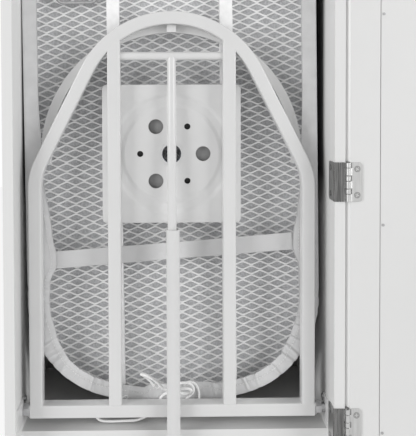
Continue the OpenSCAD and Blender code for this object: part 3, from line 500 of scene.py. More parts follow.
def spline(points, steps=6):
    """Dense points on a smooth curve through the given ones."""
    ends = [points[0] * 2 - points[1]] + points + [points[-1] * 2 - points[-2]]
    out = []
    for i in range(len(points) - 1):
        a, b, c, d = ends[i:i + 4]
        for k in range(steps):
            t = k / steps
            out.append(0.5 * (2 * b + (c - a) * t + (2 * a - 5 * b + 4 * c - d) * t * t
                              + (3 * b - a - 3 * c + d) * t ** 3))
    out.append(points[-1])
    return out


def sweep(name, path, radius, sides=10):
    """A closed round tube along dense points."""
    rings = []
    side = None
    for i, p in enumerate(path):
        t = (path[min(i + 1, len(path) - 1)] - path[max(i - 1, 0)]).normalized()
        if side is None:
            side = t.cross(Vector((0, 1, 0))).normalized()
        side = (side - t * side.dot(t)).normalized()
        up = t.cross(side)
        rings.append([p + radius * (side * math.cos(a) + up * math.sin(a))
                      for a in (2 * math.pi * k / sides for k in range(sides))])
    return add_object(name, *loft(rings, caps=True))


def make_knot():
    """A flattened ball with the humps of the cord that is wound in it."""
    rows, cols = 14, 20
    rings = []
    for i in range(rows + 1):
        polar = math.pi * i / rows
        ring = []
        for k in range(cols):
            a = 2 * math.pi * k / cols
            wrap = 1 + 0.13 * math.cos(3 * a + 5 * polar) + 0.07 * math.cos(2 * a - 4 * polar)
            r = KNOT_R * MM * wrap * 0.92
            ring.append(at(*KNOT) + Vector((r * math.sin(polar) * math.cos(a),
                                            0.85 * r * math.sin(polar) * math.sin(a),
                                            1.05 * r * math.cos(polar))))
        rings.append(ring)
    return add_object("drawstring_knot", *loft(rings))


def make_drawstring():
    knot = add_piece(make_knot(), "board", "cord_white", "drawstring")
    routes = {"drawstring_tail": (TAIL_CORD, "knot"), "drawstring_bow": (BOW_CORD, "knot"),
              "drawstring_ear": (EAR_CORD, "knot"), "drawstring_loop": (LOOP_CORD, "object")}
    for name, (points, far_end) in routes.items():
        path = spline([at(*p) for p in points])
        piece = add_piece(sweep(name, path, CORD_R * MM), "board", "cord_white", "drawstring")


make_drawstring()

# ---------------------------------------------------------------- fold frame's arch

TUBE_EDGE = 1.6


def tube_section(edge_steps=4):
    """Points round a square tube with rounded edges, from its middle."""
    mid = TUBE / 2 - TUBE_EDGE
    points = []
    for q in range(4):
        corner = math.radians(90 * q + 45)
        for i in range(edge_steps + 1):
            a = math.radians(90 * q) + math.pi / 2 * i / edge_steps
            points.append((mid * math.sqrt(2) * math.cos(corner) + TUBE_EDGE * math.cos(a),
                           mid * math.sqrt(2) * math.sin(corner) + TUBE_EDGE * math.sin(a)))
    return points


def arch_stations(bend_steps=14, arch_steps=80):
    """Places along the arch's centre line: X, height above the axis and outward angle."""
    leg = FRAME_W / 2 - TUBE / 2
    foot = TUBE / 2 - TUBE_EDGE
    apex_z = ARCH_H - APEX_R
    apex = APEX_R - TUBE / 2
    bend = SHOULDER_R - TUBE / 2
    bend_x = leg - bend
    run = (bend_x + (bend - apex) * math.cos(SIDE_LEAN)) / math.sin(SIDE_LEAN)
    bend_z = apex_z + (apex - bend) * math.sin(SIDE_LEAN) - run * math.cos(SIDE_LEAN)

    def turn(cx, cz, r, start, sweep_a, steps):
        angles = [start + sweep_a * i / steps for i in range(steps + 1)]
        return [(cx + r * math.cos(a), cz + r * math.sin(a), a) for a in angles]

    return [(leg, foot, 0.0), *turn(bend_x, bend_z, bend, 0, SIDE_LEAN, bend_steps),
            *turn(0, apex_z, apex, SIDE_LEAN, math.pi - 2 * SIDE_LEAN, arch_steps),
            *turn(-bend_x, bend_z, bend, math.pi - SIDE_LEAN, SIDE_LEAN, bend_steps),
            (-leg, foot, math.pi)]


def make_arch():
    section = tube_section()
    rings = [[at(FOLD_X + x + u * math.cos(a), PIVOT_D + v, PIVOT_H + z + u * math.sin(a))
              for u, v in section] for x, z, a in arch_stations()]
    arch = add_object("arch_tube", *loft(rings, caps=True))
    sharpen(arch, 50)
    return add_piece(arch, "fold_frame", "white_steel", "frame_arch")


def make_bar_ends():
    """The ends of the inner bars, run up into the arch where they are welded to it."""
    apex_z = PIVOT_H + ARCH_H - APEX_R
    lap, sunk = 1.003, 2
    for name, side in (("bar_end_left", -1), ("bar_end_right", 1)):
        low, high = [], []
        for u, v in tube_section():
            x = side * BAR_X + u * lap
            top = math.sqrt((APEX_R - TUBE + sunk) ** 2 - x * x)
            low.append(at(FOLD_X + x, PIVOT_D + v * lap, apex_z + 40))
            high.append(at(FOLD_X + x, PIVOT_D + v * lap, apex_z + top))
        end = add_object(name, *loft([low, high], caps=True))
        sharpen(end, 50)
        add_piece(end, "fold_frame", "white_steel")


def make_swivel_plate():
    """The lower plate: a square with rounded corners, a pressed ring and its holes."""
    half, corner = PLATE_W / 2, 5.0
    cols = 256
    radii = [6] + [12 + 3 * i for i in range(14)] + [54 + 0.75 * i for i in range(28)]

    def edge(a):
        """Distance to the plate's edge in a direction."""
        c, s = abs(math.cos(a)), abs(math.sin(a))
        flat = half / max(c, s)
        m = half - corner
        b = m * (c + s)
        disc = b * b - 2 * m * m + corner * corner
        x, y = flat * c, flat * s
        if x > m and y > m and disc > 0:
            return b + math.sqrt(disc)
        return flat

    def dent(r):
        """Depth of the pressed ring, with its two slopes."""
        slope, bead_out = 6, BEAD_IN + BEAD_W
        rise = smoothstep(BEAD_IN, BEAD_IN + slope, r)
        return BEAD_T * rise * smoothstep(bead_out, bead_out - slope, r)

    def ring(r_of, back, ease=0.0):
        out = []
        for k in range(cols):
            a = 2 * math.pi * k / cols
            r = r_of(a)
            d = FRAME_REAR + dent(r) + (PLATE_T if back else ease)
            out.append(at(FOLD_X + r * math.cos(a), d, SWIVEL_H + r * math.sin(a)))
        return out

    rings = [ring(lambda a, r=r: min(r, edge(a) - 0.6), False) for r in radii]
    rings.append(ring(lambda a: edge(a) - 0.35, False))
    rings.append(ring(lambda a: edge(a) - 0.08, False, 0.12))
    rings.append(ring(edge, False, 0.4))
    rings.append(ring(edge, True))
    rings += [ring(lambda a, r=r: min(r, edge(a) - 0.6), True) for r in reversed(radii)]
    verts, faces = loft(rings)
    n = len(verts)
    verts += [at(FOLD_X, FRAME_REAR, SWIVEL_H), at(FOLD_X, FRAME_REAR + PLATE_T, SWIVEL_H)]
    last = (len(rings) - 1) * cols
    for k in range(cols):
        j = (k + 1) % cols
        faces.append((n, j, k))
        faces.append((n + 1, last + k, last + j))
    plate = add_object("swivel_plate", verts, faces)
    holes = [(0, 0, SWIVEL_BORE)]
    for k, (x, z) in enumerate(circle(HOLE_CIRCLE, 6)):
        holes.append((x, z, SMALL_HOLE if k % 2 else LARGE_HOLE))
    drills = [loft([[at(FOLD_X + x + u, d, SWIVEL_H + z + v) for u, v in circle(radius, 96)]
                    for d in (FRAME_REAR - 3, FRAME_REAR + 6)], caps=True) for x, z, radius in holes]
    drill = add_object("plate_drill", *merged(drills))
    for solid in (plate, drill):
        made = bmesh.new()
        made.from_mesh(solid.data)
        bmesh.ops.recalc_face_normals(made, faces=made.faces)
        made.to_mesh(solid.data)
        made.free()
    cut = plate.modifiers.new("holes", "BOOLEAN")
    cut.object = drill
    cut.operation = "DIFFERENCE"
    cut.solver = "EXACT"
    bpy.context.view_layer.update()
    holed = bpy.data.meshes.new_from_object(plate.evaluated_get(bpy.context.evaluated_depsgraph_get()))
    plate.modifiers.remove(cut)
    plate.data = holed
    bpy.data.objects.remove(drill)
    plate.data.materials.clear()
    sharpen(plate, 32)
    add_piece(plate, "fold_frame", "white_steel", "swivel_plate_lower")


make_arch()
make_bar_ends()
make_swivel_plate()

# ---------------------------------------------------------------- hinges

HINGE_FIRST = 97
HINGE_STEP = 281
HINGE_H = 44.4
LEAF_T = 1.3
PIN_X = 195.85
PIN_D = -1.5
BARREL_R = 2.85
PIN_R = 1.3
WRAP = 19
LEAF_END = 211.85
LEAF_CORNER = 3.5
CABINET_KNUCKLE = 5.5
DOOR_KNUCKLE = 8.3
KNUCKLE_STEP = 14.8
DOOR_KNUCKLE_DROP = 6
NOTCH = 1.3
EASE = 0.22
SCREW_R = 3.75
DOOR_SCREW_IN = 10.3
CABINET_SCREW_D = 12


def leaf_body(stations):
    """A leaf of thin steel along stations of outer and inner point, half height and middle height."""
    rings = []
    for outer, inner, half, mid in stations:
        o, i = Vector((*outer, 0)), Vector((*inner, 0))
        ease = (i - o).normalized() * EASE
        ring = []
        for point, h in ((o + ease, half), (o, half - EASE), (o, EASE - half), (o + ease, -half),
                         (i - ease, -half), (i, EASE - half), (i, half - EASE), (i - ease, half)):
            ring.append(at(point.x, point.y, mid + h))
        rings.append(ring)
    return loft(rings, caps=True)


def knuckle_rolls(mid, door):
    """The rolled knuckles of one leaf, each with the tab that runs from the leaf into it."""
    parts = []
    length = DOOR_KNUCKLE if door else CABINET_KNUCKLE
    way = 1 if door else -1
    root = PIN_X + way * (PIN_X - CAB_X + NOTCH + 0.4)
    tab = [(root, -LEAF_T), (PIN_X + way * 1.9, -LEAF_T - 0.9), (PIN_X + way * 1.6, -LEAF_T + 0.6),
           (root, 0)]
    bevel, gap = 0.3, 0.25
    for i in range(3):
        top = mid + HINGE_H / 2 - KNUCKLE_STEP * i - (DOOR_KNUCKLE_DROP if door else 0) - gap
        low = top - length
        levels = [(PIN_R, low), (BARREL_R - bevel, low), (BARREL_R, low + bevel),
                  (BARREL_R, top - bevel), (BARREL_R - bevel, top), (PIN_R, top)]
        parts.append(loft([[at(PIN_X + x, PIN_D + y, h) for x, y in circle(radius, 36)]
                           for radius, h in levels]))
        parts.append(loft([[at(x, d, h) for x, d in tab] for h in (low + 0.05, top - 0.05)], caps=True))
    return merged(parts)


def join_parts(name, parts):
    obj = add_object(name, *merged(parts))
    sharpen(obj, 32)
    return obj


def corner_half(run):
    """Half height of a leaf at a distance from its end, with its round corner."""
    if run >= LEAF_CORNER:
        return HINGE_H / 2
    return HINGE_H / 2 - LEAF_CORNER + math.sqrt(LEAF_CORNER ** 2 - (LEAF_CORNER - run) ** 2)


def screw_head(centre, out, turn):
    """A countersunk head with a cross recess, flush in its leaf, and which of its faces lie in the
    recess and get the near-black painted shade.
    """
    out = Vector(out)
    side = Vector((0, 0, 1)).cross(out).normalized()
    up = out.cross(side)
    rows, cols = 18, 72
    rings, levels = [], []
    for i in range(rows + 1):
        ring = []
        for u, v in circle(SCREW_R * i / rows, cols):
            along = abs(u * math.cos(turn) + v * math.sin(turn))
            across = abs(v * math.cos(turn) - u * math.sin(turn))
            sunk = smoothstep(0.72, 0.42, min(along, across))
            sunk *= smoothstep(2.45, 1.9, max(along, across))
            level = 0.12 * (1 - (i / rows) ** 2) - 1.1 * sunk + 0.16 if i < rows else -0.35
            levels.append(level)
            ring.append(centre + (side * u + up * v + out * level) * MM)
        rings.append(ring)
    verts, faces = loft(rings)
    faces.append(tuple(reversed([rows * cols + k for k in range(cols)])))
    return verts, faces, [min(levels[v] for v in face) < -0.1 for face in faces]


def rounded_end(end):
    """Places near a leaf's end, with the leaf's half height there."""
    runs = [LEAF_CORNER] + [LEAF_CORNER * (1 - math.sin(math.pi / 2 * i / 8)) for i in range(1, 9)]
    return [(end - run, corner_half(run)) for run in runs]


def make_cabinet_leaf(k, mid):
    """The leaf that lies on the side board's edge and wraps round onto its inner face."""
    full = HINGE_H / 2
    stations = [((CAB_X - NOTCH, -LEAF_T), (CAB_X - NOTCH, 0), full, mid)]
    for i in range(9):
        a = math.pi / 2 * i / 8
        outer = (IN_X - LEAF_T * math.sin(a), -LEAF_T * math.cos(a))
        stations.append((outer, (IN_X, 0.001 * i), full, mid))
    for d, half in [(1, full)] + rounded_end(WRAP):
        stations.append(((IN_X - LEAF_T, d), (IN_X, d), half, mid))
    leaf = join_parts("cabinet_leaf_%d" % k, [leaf_body(stations), knuckle_rolls(mid, False)])
    add_piece(leaf, "cabinet", "hinge_steel", "hinge_cabinet_leaf_%d" % k)
    # Painted light: the wrapped and rolled faces get the lighter copy of the steel.
    leaf.data.materials.append(HINGE_STEEL_LIT)
    front = at(0, 0.3, 0).y
    for face in leaf.data.polygons:
        wrapped = face.center.y > front
        rolled = face.center.x > (CAB_X - 0.2) * MM
        face.material_index = 1 if wrapped or rolled else 0


def make_door_leaf(k, mid):
    root = 2 * PIN_X - (CAB_X - NOTCH)
    stations = [((root, -LEAF_T), (root, 0), HINGE_H / 2, mid)]
    stations += [((x, -LEAF_T), (x, 0), half, mid) for x, half in rounded_end(LEAF_END)]
    leaf = join_parts("door_leaf_%d" % k, [leaf_body(stations), knuckle_rolls(mid, True)])
    # The door leaf is all in the lighter copy of the steel, painted light.
    add_piece(leaf, "door", "hinge_steel", "hinge_door_leaf_%d" % k, finish=HINGE_STEEL_LIT)


def make_hinges():
    heads = {"door": [], "cabinet": []}
    for k in range(5):
        mid = HINGE_FIRST + HINGE_STEP * k
        make_cabinet_leaf(k + 1, mid)
        make_door_leaf(k + 1, mid)
        for z in (-KNUCKLE_STEP, KNUCKLE_STEP):
            on_door = at(PIN_X + DOOR_SCREW_IN, -LEAF_T, mid + z)
            heads["door"].append(screw_head(on_door, (0, -1, 0), 0.4 + 0.7 * k + z))
            on_side = at(IN_X - LEAF_T, CABINET_SCREW_D, mid + z)
            heads["cabinet"].append(screw_head(on_side, (-1, 0, 0), 0.9 * k + z))
    for body, parts in heads.items():
        screws = join_parts(body + "_screws", [part[:2] for part in parts])
        add_piece(screws, body, "hinge_steel", "hinge_screws_" + body, finish=SCREW)
        # Faces in the cross recess get the near-black painted shade.
        screws.data.materials.append(RECESS_SHADE)
        for face, dark in zip(screws.data.polygons, [mark for part in parts for mark in part[2]]):
            face.material_index = 1 if dark else 0


# The lipping's section in X and depth, its top and its distance from the hinges
LIPPING = [(198.8, 0.25), (198.2, 0.5), (193.7, 5.0), (193.5, 5.6), (193.5, 16.5), (194, 17),
           (198.8, 17)]
LIPPING_TOP = 1319.0
HINGE_GAP = 0.6


def make_door_edge():
    """The bevelled lipping on the door's hinge side, in lengths that stop at the hinges."""
    parts = []
    bottom = 1.0
    for k in range(6):
        top = HINGE_FIRST + HINGE_STEP * k - HINGE_H / 2 - HINGE_GAP if k < 5 else LIPPING_TOP
        parts.append(loft([[at(x, d, h) for x, d in LIPPING] for h in (bottom, top)], caps=True))
        bottom = top + HINGE_H + 2 * HINGE_GAP
    # The lipping gets the lighter copy of the door paint: a painted highlight.
    add_piece(join_parts("door_edge_lipping", parts), "door", "door_paint", finish=DOOR_EDGE_HIGHLIGHT)


make_hinges()
make_door_edge()

# ---------------------------------------------------------------- ironing board


def arc(cx, cz, r, a0, a1, n):
    return [(cx + r * math.cos(a0 + (a1 - a0) * i / n), cz + r * math.sin(a0 + (a1 - a0) * i / n))
            for i in range(n)]


NOSE_Z = TAIL_H + BOARD_L - NOSE_R
SIDE_ARC = (HALF_W ** 2 + (NOSE_Z - TAPER_H) ** 2 - NOSE_R ** 2) / (2 * (HALF_W - NOSE_R))
NOSE_A = math.asin((NOSE_Z - TAPER_H) / (SIDE_ARC - NOSE_R))
CORNER_X = HALF_W - CORNER_R
TAIL_A = math.asin(CORNER_X / (TAIL_R - CORNER_R))
TAIL_Z = TAIL_H + TAIL_R
CORNER_Z = TAIL_Z - (TAIL_R - CORNER_R) * math.cos(TAIL_A)


def outline(i, fine=1, low=None):
    """The board's outline in X and height, drawn in by i mm, with more points round the tail."""
    pi = math.pi
    low = low or fine
    runs = [
        arc(0, NOSE_Z, NOSE_R - i, NOSE_A, pi - NOSE_A, 14 * fine),
        arc(SIDE_ARC - HALF_W, TAPER_H, SIDE_ARC - i, pi - NOSE_A, pi, 24 * fine),
        [(i - HALF_W, TAPER_H + (CORNER_Z - TAPER_H) * k / (20 * low)) for k in range(20 * low)],
        arc(-CORNER_X, CORNER_Z, CORNER_R - i, pi, 1.5 * pi - TAIL_A, 14 * low),
        arc(0, TAIL_Z, TAIL_R - i, 1.5 * pi - TAIL_A, 1.5 * pi + TAIL_A, 14 * low),
        arc(CORNER_X, CORNER_Z, CORNER_R - i, 1.5 * pi + TAIL_A, 2 * pi, 14 * low),
        [(HALF_W - i, CORNER_Z + (TAPER_H - CORNER_Z) * k / (20 * low)) for k in range(20 * low)],
        arc(HALF_W - SIDE_ARC, TAPER_H, SIDE_ARC - i, 0, NOSE_A, 24 * fine),
    ]
    return [p for run in runs for p in run]


# Width of the hem at heights down the board: the left side, then the right
HEM_LEFT = [(760, 18), (667, 22), (586, 32), (566, 36.5), (553, 36.5), (536, 28), (513, 27), (473, 27),
            (440, 23), (425, 20), (409, 19), (383, 19)]
HEM_RIGHT = [(760, 18.5), (655, 21), (615, 26), (588, 31), (568, 31.5), (551, 25), (507, 25),
             (467, 25), (440, 23), (425, 20), (410, 19.5), (383, 20)]
BOW_PLACE = (-34, 48)
BOW_TOP = 400
BOW_HEM_W = 24.5
GATHER_FROM = 640
GATHER_FULL = 500
HEM_NEAREST = 40.6
UNDER_CORD = 42.3
CORD_ON_HEM = 38.5
CASING_W = 6.5
# Rings that carry the cover over the rim and onto the pad: inset, depth and share of the folds
OVER_RIM = [(0.5, HEM_D + 1.2, 0.3), (0.05, HEM_D + 2.6, 0.3), (0, 50, 0.25), (0, 58, 0.2),
            (0, 66, 0.1), (0.25, COVER_REAR - 2.4, 0.05), (1.1, COVER_REAR - 1.0, 0.0),
            (2.6, COVER_REAR - 0.25, 0.0), (5, COVER_REAR, 0.0), (26, COVER_REAR + 0.2, 0.0),
            (46, COVER_REAR + 0.3, 0.0)]


def hem_width(x, h):
    if h < BOW_TOP and BOW_PLACE[0] < x < BOW_PLACE[1]:
        return BOW_HEM_W
    table = HEM_LEFT if x < 0 else HEM_RIGHT
    if h >= table[0][0]:
        return table[0][1]
    for (h1, w1), (h0, w0) in zip(table, table[1:]):
        if h >= h0:
            return w0 + (w1 - w0) * smoothstep(h0, h1, h)
    return table[-1][1]


def gather_amount(h):
    """How much the hem is gathered: hardly at the upper sides, most toward the tail."""
    return 0.06 + 0.94 * smoothstep(GATHER_FROM, GATHER_FULL, h)


# The deep tucks that the photograph shows, by place on the board
TUCKS = [(150, 487, 1.6, 1.2, 4), (140, 450, 2.2, 2.1, -3), (133, 438, 2.6, 2.4, 3),
         (120, 424, 2.4, 2.2, 2), (100, 412, 2.6, 1.9, -2), (85, 405, 2.0, 1.1, 3),
         (69, 399, 1.8, 0.9, 0), (44, 395, 3.0, 0.7, 1), (-146, 465, 2.0, 0.9, 3),
         (-138, 450, 1.8, 1.0, -3),
         (-130, 436, 2.4, 1.1, 2), (-118, 424, 2.0, 0.9, -2), (-102, 410, 2.4, 1.0, 2),
         (-58, 398, 2.4, 1.7, -2)]


def make_creases(total, heights, outer, run):
    """Tucks across the hem: place along the edge, width, height of the fold and slant."""
    draw = random.Random(11)
    creases = []
    for x, h, width, rise, slant in TUCKS:
        i = min(range(len(outer)), key=lambda k: math.dist(outer[k], (x, h)))
        creases.append((run[i], width, rise, slant))
    for _ in range(150):
        s = draw.random() * total
        width = 1.6 + 2.4 * draw.random()
        rise = 0.25 + 1.05 * draw.random() ** 2
        slant = draw.uniform(-6, 6)
        g = gather_amount(heights(s))
        if draw.random() < g:
            creases.append((s, width, rise * g, slant))
    return sorted(creases)


def make_cover():
    """The fitted cover: its hem is drawn round the rim and gathered, its back lies over the pad."""
    outer = outline(0, 5, 14)
    inner = outline(10, 5, 14)
    n = len(outer)
    inward = [((q[0] - p[0]) / 10, (q[1] - p[1]) / 10) for p, q in zip(outer, inner)]
    run = [0.0]
    for p, q in zip(outer, outer[1:]):
        run.append(run[-1] + math.dist(p, q))
    total = run[-1] + math.dist(outer[-1], outer[0])
    widths = [hem_width(*p) for p in outer]
    near = range(-5, 6)
    widths = [sum(widths[(i + k) % n] for k in near) / len(near) for i in range(n)]

    def height_at(s):
        return outer[min(range(0, n, 8), key=lambda i: abs(run[i] - s))][1]

    creases = make_creases(total, height_at, outer, run)
    cords = TAIL_CORD + BOW_CORD + EAR_CORD + LOOP_CORD
    ties = [(x, h) for x, depth, h in cords if depth > CORD_ON_HEM]

    def fold(s, t):
        """Height of the tucks at a place along the edge and across the hem."""
        out = 0.0
        for s0, width, rise, slant in creases:
            u = (s - s0 - slant * t) / width
            if abs(u) < 4:
                valley = 0.3 * math.exp(-((u - 1.15) / 0.55) ** 2)
                out += rise * (math.exp(-u * u) - valley)
        return out

    def soft(s, seed):
        """A slow waviness along the edge."""
        a = 2 * math.pi * s / total
        return noise.noise(Vector((math.cos(a) * 22, math.sin(a) * 22, seed)))

    def station(i, inset, depth, t=1.0, wave=0.0):
        """A point of the cover at a place round the edge, with a share of its folds."""
        p, d = outer[i], inward[i]
        g = gather_amount(p[1])
        out = max(-0.5, wave * (fold(run[i], t) * 1.3 + 0.5 * g * soft(run[i], 4.0)))
        shift = wave * 0.35 * g * soft(run[i], 9.0)
        if wave and inset < 2:
            shift += 0.55 * min(2.2, max(0.0, fold(run[i], 1.0)))
        floor = HEM_NEAREST
        if p[1] < 425:
            place = (p[0] + d[0] * inset + FOLD_X, p[1] + d[1] * inset)
            near_cord = min(math.dist(place, tie) for tie in ties)
            floor = UNDER_CORD - (UNDER_CORD - HEM_NEAREST) * smoothstep(8, 20, near_cord)
        inset += shift
        return leaned(p[0] + d[0] * inset, max(floor, depth - out), p[1] + d[1] * inset)

    def hem_profile(i, t, back):
        """A point across the hem, from its free edge (t = 0) to the rim's outer edge (t = 1)."""
        g = gather_amount(outer[i][1])
        inset = widths[i] * (1 - t) + 1.2 * t
        swell = (0.2 + 0.45 * g) * math.sin(math.pi * min(1, 0.12 + t))
        from_edge = t * widths[i]
        seam = 0.12 * g * math.exp(-((from_edge - CASING_W) / 0.8) ** 2)
        depth = HEM_D + 0.9 - (0 if back else swell - seam) + back
        return station(i, inset, depth, t, 0.3 + 0.7 * (1 - t) ** 0.5)

    across = [0.02, 0.05, 0.1, 0.16, 0.22, 0.28, 0.34, 0.4, 0.46, 0.54, 0.64, 0.76, 0.88, 1.0]
    every = range(n)
    rings = [[station(i, 1.6, depth) for i in every] for depth in (PAD_REAR + 0.1, HEM_D + 3)]
    rings += [[hem_profile(i, t, 1.1) for i in every] for t in (0.76, 0.4, 0.16, 0.05)]
    for inset, depth in ((0.25, 2.0), (0.0, 1.2), (0.1, 0.35)):
        rings.append([station(i, widths[i] - inset, HEM_D + depth, 0, 0.9) for i in every])
    rings += [[hem_profile(i, t, 0) for i in every] for t in across]
    for inset, depth, wave in OVER_RIM:
        rings.append([station(i, inset, depth, 1.0, wave) for i in every])
    cover = add_object("cover", *loft(rings, caps=True))
    sharpen(cover, 70)
    add_piece(cover, "board", "cover_fabric", "board_cover")
    make_stitches(outer, widths, run, station)
    make_buttonholes()
    make_rim()


def make_rim():
    """The folded rim under the hem, which carries the mesh's edge."""
    front, inner, edge = 43.5, RIM_IN + 8, 0.6
    profile = [(RIM_IN, front + edge), (RIM_IN + edge, front), (inner - edge, front),
               (inner, front + edge), (inner, MESH_D), (RIM_IN, MESH_D)]
    rings = [[leaned(x, depth, h) for x, h in outline(inset, 2, 6)] for inset, depth in profile]
    rim = add_object("rim_channel", *loft(rings, closed=True))
    sharpen(rim, 40)
    add_piece(rim, "board", "board_steel", "board_rim")


def make_buttonholes():
    """Rings of thread round the holes where the drawstring leaves its casing."""
    parts = []
    turns, sides = 28, 6
    long_r, short_r, raised = 3.6, 2.3, 42.1
    for (x, _, h), angle in ((BOW_CORD[0], 125), (LOOP_CORD[-1], 30), (TAIL_CORD[0], 30)):
        tilt = math.radians(angle)
        rings = []
        for k in range(turns):
            a = -2 * math.pi * k / turns
            ring = []
            for out, up in circle(0.62 + 0.08 * (k % 2), sides):
                u, v = (long_r + out) * math.cos(a), (short_r + out) * math.sin(a)
                ring.append(leaned(x + u * math.cos(tilt) - v * math.sin(tilt) - FOLD_X,
                                   raised + 0.5 * up / math.hypot(out, up),
                                   h + u * math.sin(tilt) + v * math.cos(tilt)))
            rings.append(ring)
        parts.append(loft(rings, closed=True))
    add_piece(add_object("hem_buttonholes", *merged(parts)), "board", "cord_white")


def make_stitches(outer, widths, run, station):
    """Stitches that close the drawstring's casing, along the hem."""
    parts = []
    step, length = 3.4, 2.3
    n = len(outer)
    at_run = 0.0

    def seam(i):
        depth = HEM_D - 0.15 - 0.8 * gather_amount(outer[i][1])
        return station(i, widths[i] - CASING_W, depth, 0.3, 0.6)

    for i in range(n - 1):
        if run[i] < at_run:
            continue
        at_run = run[i] + step
        if outer[i][1] > GATHER_FROM or widths[i] <= CASING_W - 1:
            continue
        a, b = seam(i), seam(min(i + 2, n - 1))
        along = (b - a).normalized()
        b = a + along * length * MM
        side = along.cross(Vector((0, 1, 0))).normalized() * 0.28 * MM
        up = Vector((0, -0.22 * MM, 0))
        mid = (a + b) / 2
        parts.append(([a - side, a + side, mid - side + up, mid + side + up, b - side, b + side],
                      [(0, 1, 3, 2), (2, 3, 5, 4), (0, 2, 4), (1, 5, 3), (0, 4, 5, 1)]))
    add_piece(add_object("hem_stitches", *merged(parts)), "board", "cord_white")


def make_pad():
    """The felt under the cover, seen through the mesh."""
    rings = []
    for inset, depth in ((12, MESH_D + MESH_T), (3.5, MESH_D + MESH_T), (2.2, MESH_D + 2), (2, 65),
                         (2, 68), (2.4, PAD_REAR - 0.6), (4, PAD_REAR), (12, PAD_REAR)):
        rings.append([leaned(x, depth, h) for x, h in outline(inset, 2)])
    pad = add_object("pad", *loft(rings, caps=True))
    sharpen(pad, 50)
    add_piece(pad, "board", "pad_felt", "board_pad")


MESH_PX = 21.5
MESH_PZ = 11.35
STRAND_W = 2.0
STRAND_T = 1.1
JOINT = 1.3
MESH_IN = RIM_IN + 6


def inside(x, h, inset):
    """Whether a point lies inside the board's outline drawn in by inset."""
    if h > NOSE_Z and math.hypot(x, h - NOSE_Z) > NOSE_R - inset:
        return False
    if h > TAPER_H:
        return math.hypot(abs(x) + SIDE_ARC - HALF_W, h - TAPER_H) < SIDE_ARC - inset
    if abs(x) > HALF_W - inset:
        return False
    if h < CORNER_Z and abs(x) > CORNER_X:
        if math.hypot(abs(x) - CORNER_X, h - CORNER_Z) > CORNER_R - inset:
            return False
    return h > CORNER_Z or math.hypot(x, h - TAIL_Z) < TAIL_R - inset


def make_mesh():
    """Expanded steel: slit strands, twisted a little, that lie side by side at the short joints."""
    verts, faces = [], []
    depth = MESH_D + MESH_T / 2 - 0.1
    tilt = math.radians(16)

    def strand(points, widths):
        base = len(verts)
        for k, ((x, h), w) in enumerate(zip(points, widths)):
            a, b = points[max(k - 1, 0)], points[min(k + 1, len(points) - 1)]
            run = Vector((b[0] - a[0], 0, b[1] - a[1])).normalized()
            flat = Vector((-run.z, 0, run.x)) * (-1 if run.x < 0 else 1)
            wide = flat * math.cos(tilt) - Vector((0, 1, 0)) * math.sin(tilt)
            thick = run.cross(wide)
            for u, v in ((-1, -1), (1, -1), (1, 1), (-1, 1)):
                off = wide * (u * w / 2) + thick * (v * STRAND_T / 2)
                verts.append(leaned(x + off.x, depth + off.y, h + off.z))
        last = base + 4 * (len(points) - 1)
        faces.append((base + 3, base + 2, base + 1, base))
        faces.append((last, last + 1, last + 2, last + 3))
        for k in range(len(points) - 1):
            for i in range(4):
                p, q = base + 4 * k + i, base + 4 * k + (i + 1) % 4
                faces.append((p, q, q + 4, p + 4))

    rows = int(BOARD_L / MESH_PZ * 2) + 2
    cols = int(HALF_W / MESH_PX) + 2
    half_x, half_z, lift = MESH_PX / 2, MESH_PZ / 2, STRAND_W * 0.47
    rise = half_z - 2 * lift
    taper = [STRAND_W * share for share in (1.06, 1, 0.92, 1, 1.06)]
    for r in range(rows):
        for c in range(-cols, cols + 1):
            x = (c + (r % 2) / 2) * MESH_PX
            h = TAIL_H + 8 + r * MESH_PZ / 2
            for side in (-1, 1):
                if inside(x, h, MESH_IN) and inside(x + side * half_x, h + half_z, MESH_IN):
                    low, high = h + lift, h + half_z - lift
                    strand([(x - side * 0.3, low), (x + side * JOINT, low + 0.04 * rise),
                            (x + side * half_x * 0.5, low + rise * 0.5),
                            (x + side * (half_x - JOINT), high - 0.04 * rise),
                            (x + side * (half_x + 0.3), high)], taper)
    mesh = add_object("mesh_net", verts, faces, smooth=False)
    add_piece(mesh, "board", "board_steel", "board_mesh")


STRAP_LEFT = (-147, 558)
STRAP_RIGHT = (147, 580)
STRAP_W = 21
STRAP_D = 45.5


def make_strap():
    """The elastic strap from hem to hem, with rolled edges and a slight ripple."""
    steps, half = 120, STRAP_W / 2
    profile = [(-half + 0.2, 0.55), (-half, 0.2), (-half + 0.5, 0.0), (-half + 2, 0.12),
               (-half / 2, 0.1), (0, 0.05), (half / 2, 0.1), (half - 2, 0.12), (half - 0.5, 0.0),
               (half, 0.2), (half - 0.2, 0.55), (half - 1, 1.0), (0, 1.0), (-half + 1, 1.0)]
    a, b = Vector(STRAP_LEFT), Vector(STRAP_RIGHT)
    run = (b - a).normalized()
    up = Vector((-run.y, run.x))
    rings = []
    for i in range(steps + 1):
        t = i / steps
        p = a.lerp(b, t)
        ripple = 0.12 * math.sin(t * 46) + 0.08 * math.sin(t * 17 + 1)
        narrow = 1 - 0.03 * math.sin(math.pi * t)
        rings.append([at(FOLD_X + p.x + up.x * v * narrow, STRAP_D + d + ripple,
                         p.y + up.y * v * narrow) for v, d in profile])
    strap = add_object("elastic_strap", *loft(rings, caps=True))
    add_piece(strap, "board", "elastic", "cover_strap")


make_cover()
make_pad()
make_mesh()
make_strap()

# ---------------------------------------------------------------- floor, light and view

FLOOR_DROP = 0.45
FLOOR_HALF = 6
FLOOR_GLOW = 0.88
WORLD_LIGHT = 0.42
WHITE = (1, 1, 1, 1)
LAMP_SIZE = (1.3, 1.5)
LAMP_POWER = 46


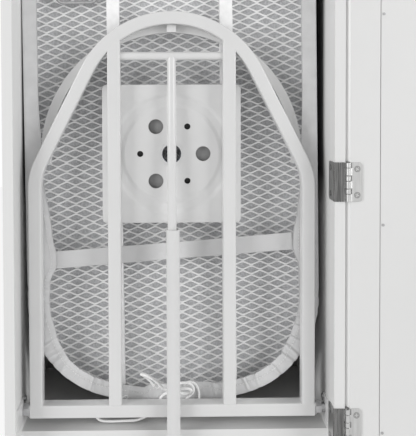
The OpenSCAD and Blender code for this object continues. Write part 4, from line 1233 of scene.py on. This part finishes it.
def seen_rays(tree):
    """1 for rays that show a surface directly, by reflection or through glass."""
    path = tree.nodes.new("ShaderNodeLightPath")
    seen = path.outputs["Is Camera Ray"]
    for name in ("Is Transmission Ray", "Is Glossy Ray"):
        made = tree.nodes.new("ShaderNodeMath")
        made.operation = "MAXIMUM"
        tree.links.new(seen, made.inputs[0])
        tree.links.new(path.outputs[name], made.inputs[1])
        seen = made.outputs[0]
    return seen


def make_stage():
    """The floor, nearly white to the camera and matt grey to the light that falls on the object."""
    corners = [(x * FLOOR_HALF, y * FLOOR_HALF, BASE_Z - FLOOR_DROP)
               for x, y in ((-1, -1), (1, -1), (1, 1), (-1, 1))]
    floor = add_object("floor", corners, [(0, 1, 2, 3)], smooth=False)
    s = Shader("floor", (0.8, 0.8, 0.8), 0.9)
    glow = s.node("ShaderNodeEmission")
    glow.inputs["Color"].default_value = WHITE
    mix = s.node("ShaderNodeMixShader")
    s.link(s.calc("MULTIPLY", seen_rays(s.tree), FLOOR_GLOW), mix.inputs["Fac"])
    s.link(s.bsdf.outputs[0], mix.inputs[1])
    s.link(glow.outputs[0], mix.inputs[2])
    s.link(mix.outputs[0], s.tree.nodes["Material Output"].inputs["Surface"])
    floor.data.materials.append(s.material)


def make_world():
    """White behind the object, and a weaker light on it."""
    world = bpy.data.worlds.new("studio")
    world.use_nodes = True
    tree = world.node_tree
    background = tree.nodes["Background"]
    background.inputs["Color"].default_value = WHITE
    strength = tree.nodes.new("ShaderNodeMapRange")
    strength.inputs["To Min"].default_value = WORLD_LIGHT
    strength.inputs["To Max"].default_value = 1.0
    tree.links.new(seen_rays(tree), strength.inputs["Value"])
    tree.links.new(strength.outputs["Result"], background.inputs["Strength"])
    bpy.context.scene.world = world


def add_lamp(name, place, target):
    data = bpy.data.lights.new(name, "AREA")
    data.shape = "RECTANGLE"
    data.size, data.size_y = LAMP_SIZE
    data.energy = LAMP_POWER
    lamp = bpy.data.objects.new(name, data)
    lamp.location = place
    lamp.rotation_euler = (Vector(target) - Vector(place)).to_track_quat("-Z", "Y").to_euler()
    bpy.context.scene.collection.objects.link(lamp)


make_stage()
make_world()
add_lamp("key_left", (-2.45, -1.75, 0.5), (0, 0, -0.2))
add_lamp("key_right", (2.55, -1.75, 0.5), (0.1, 0, -0.2))
bpy.context.scene.view_settings.view_transform = "Standard"
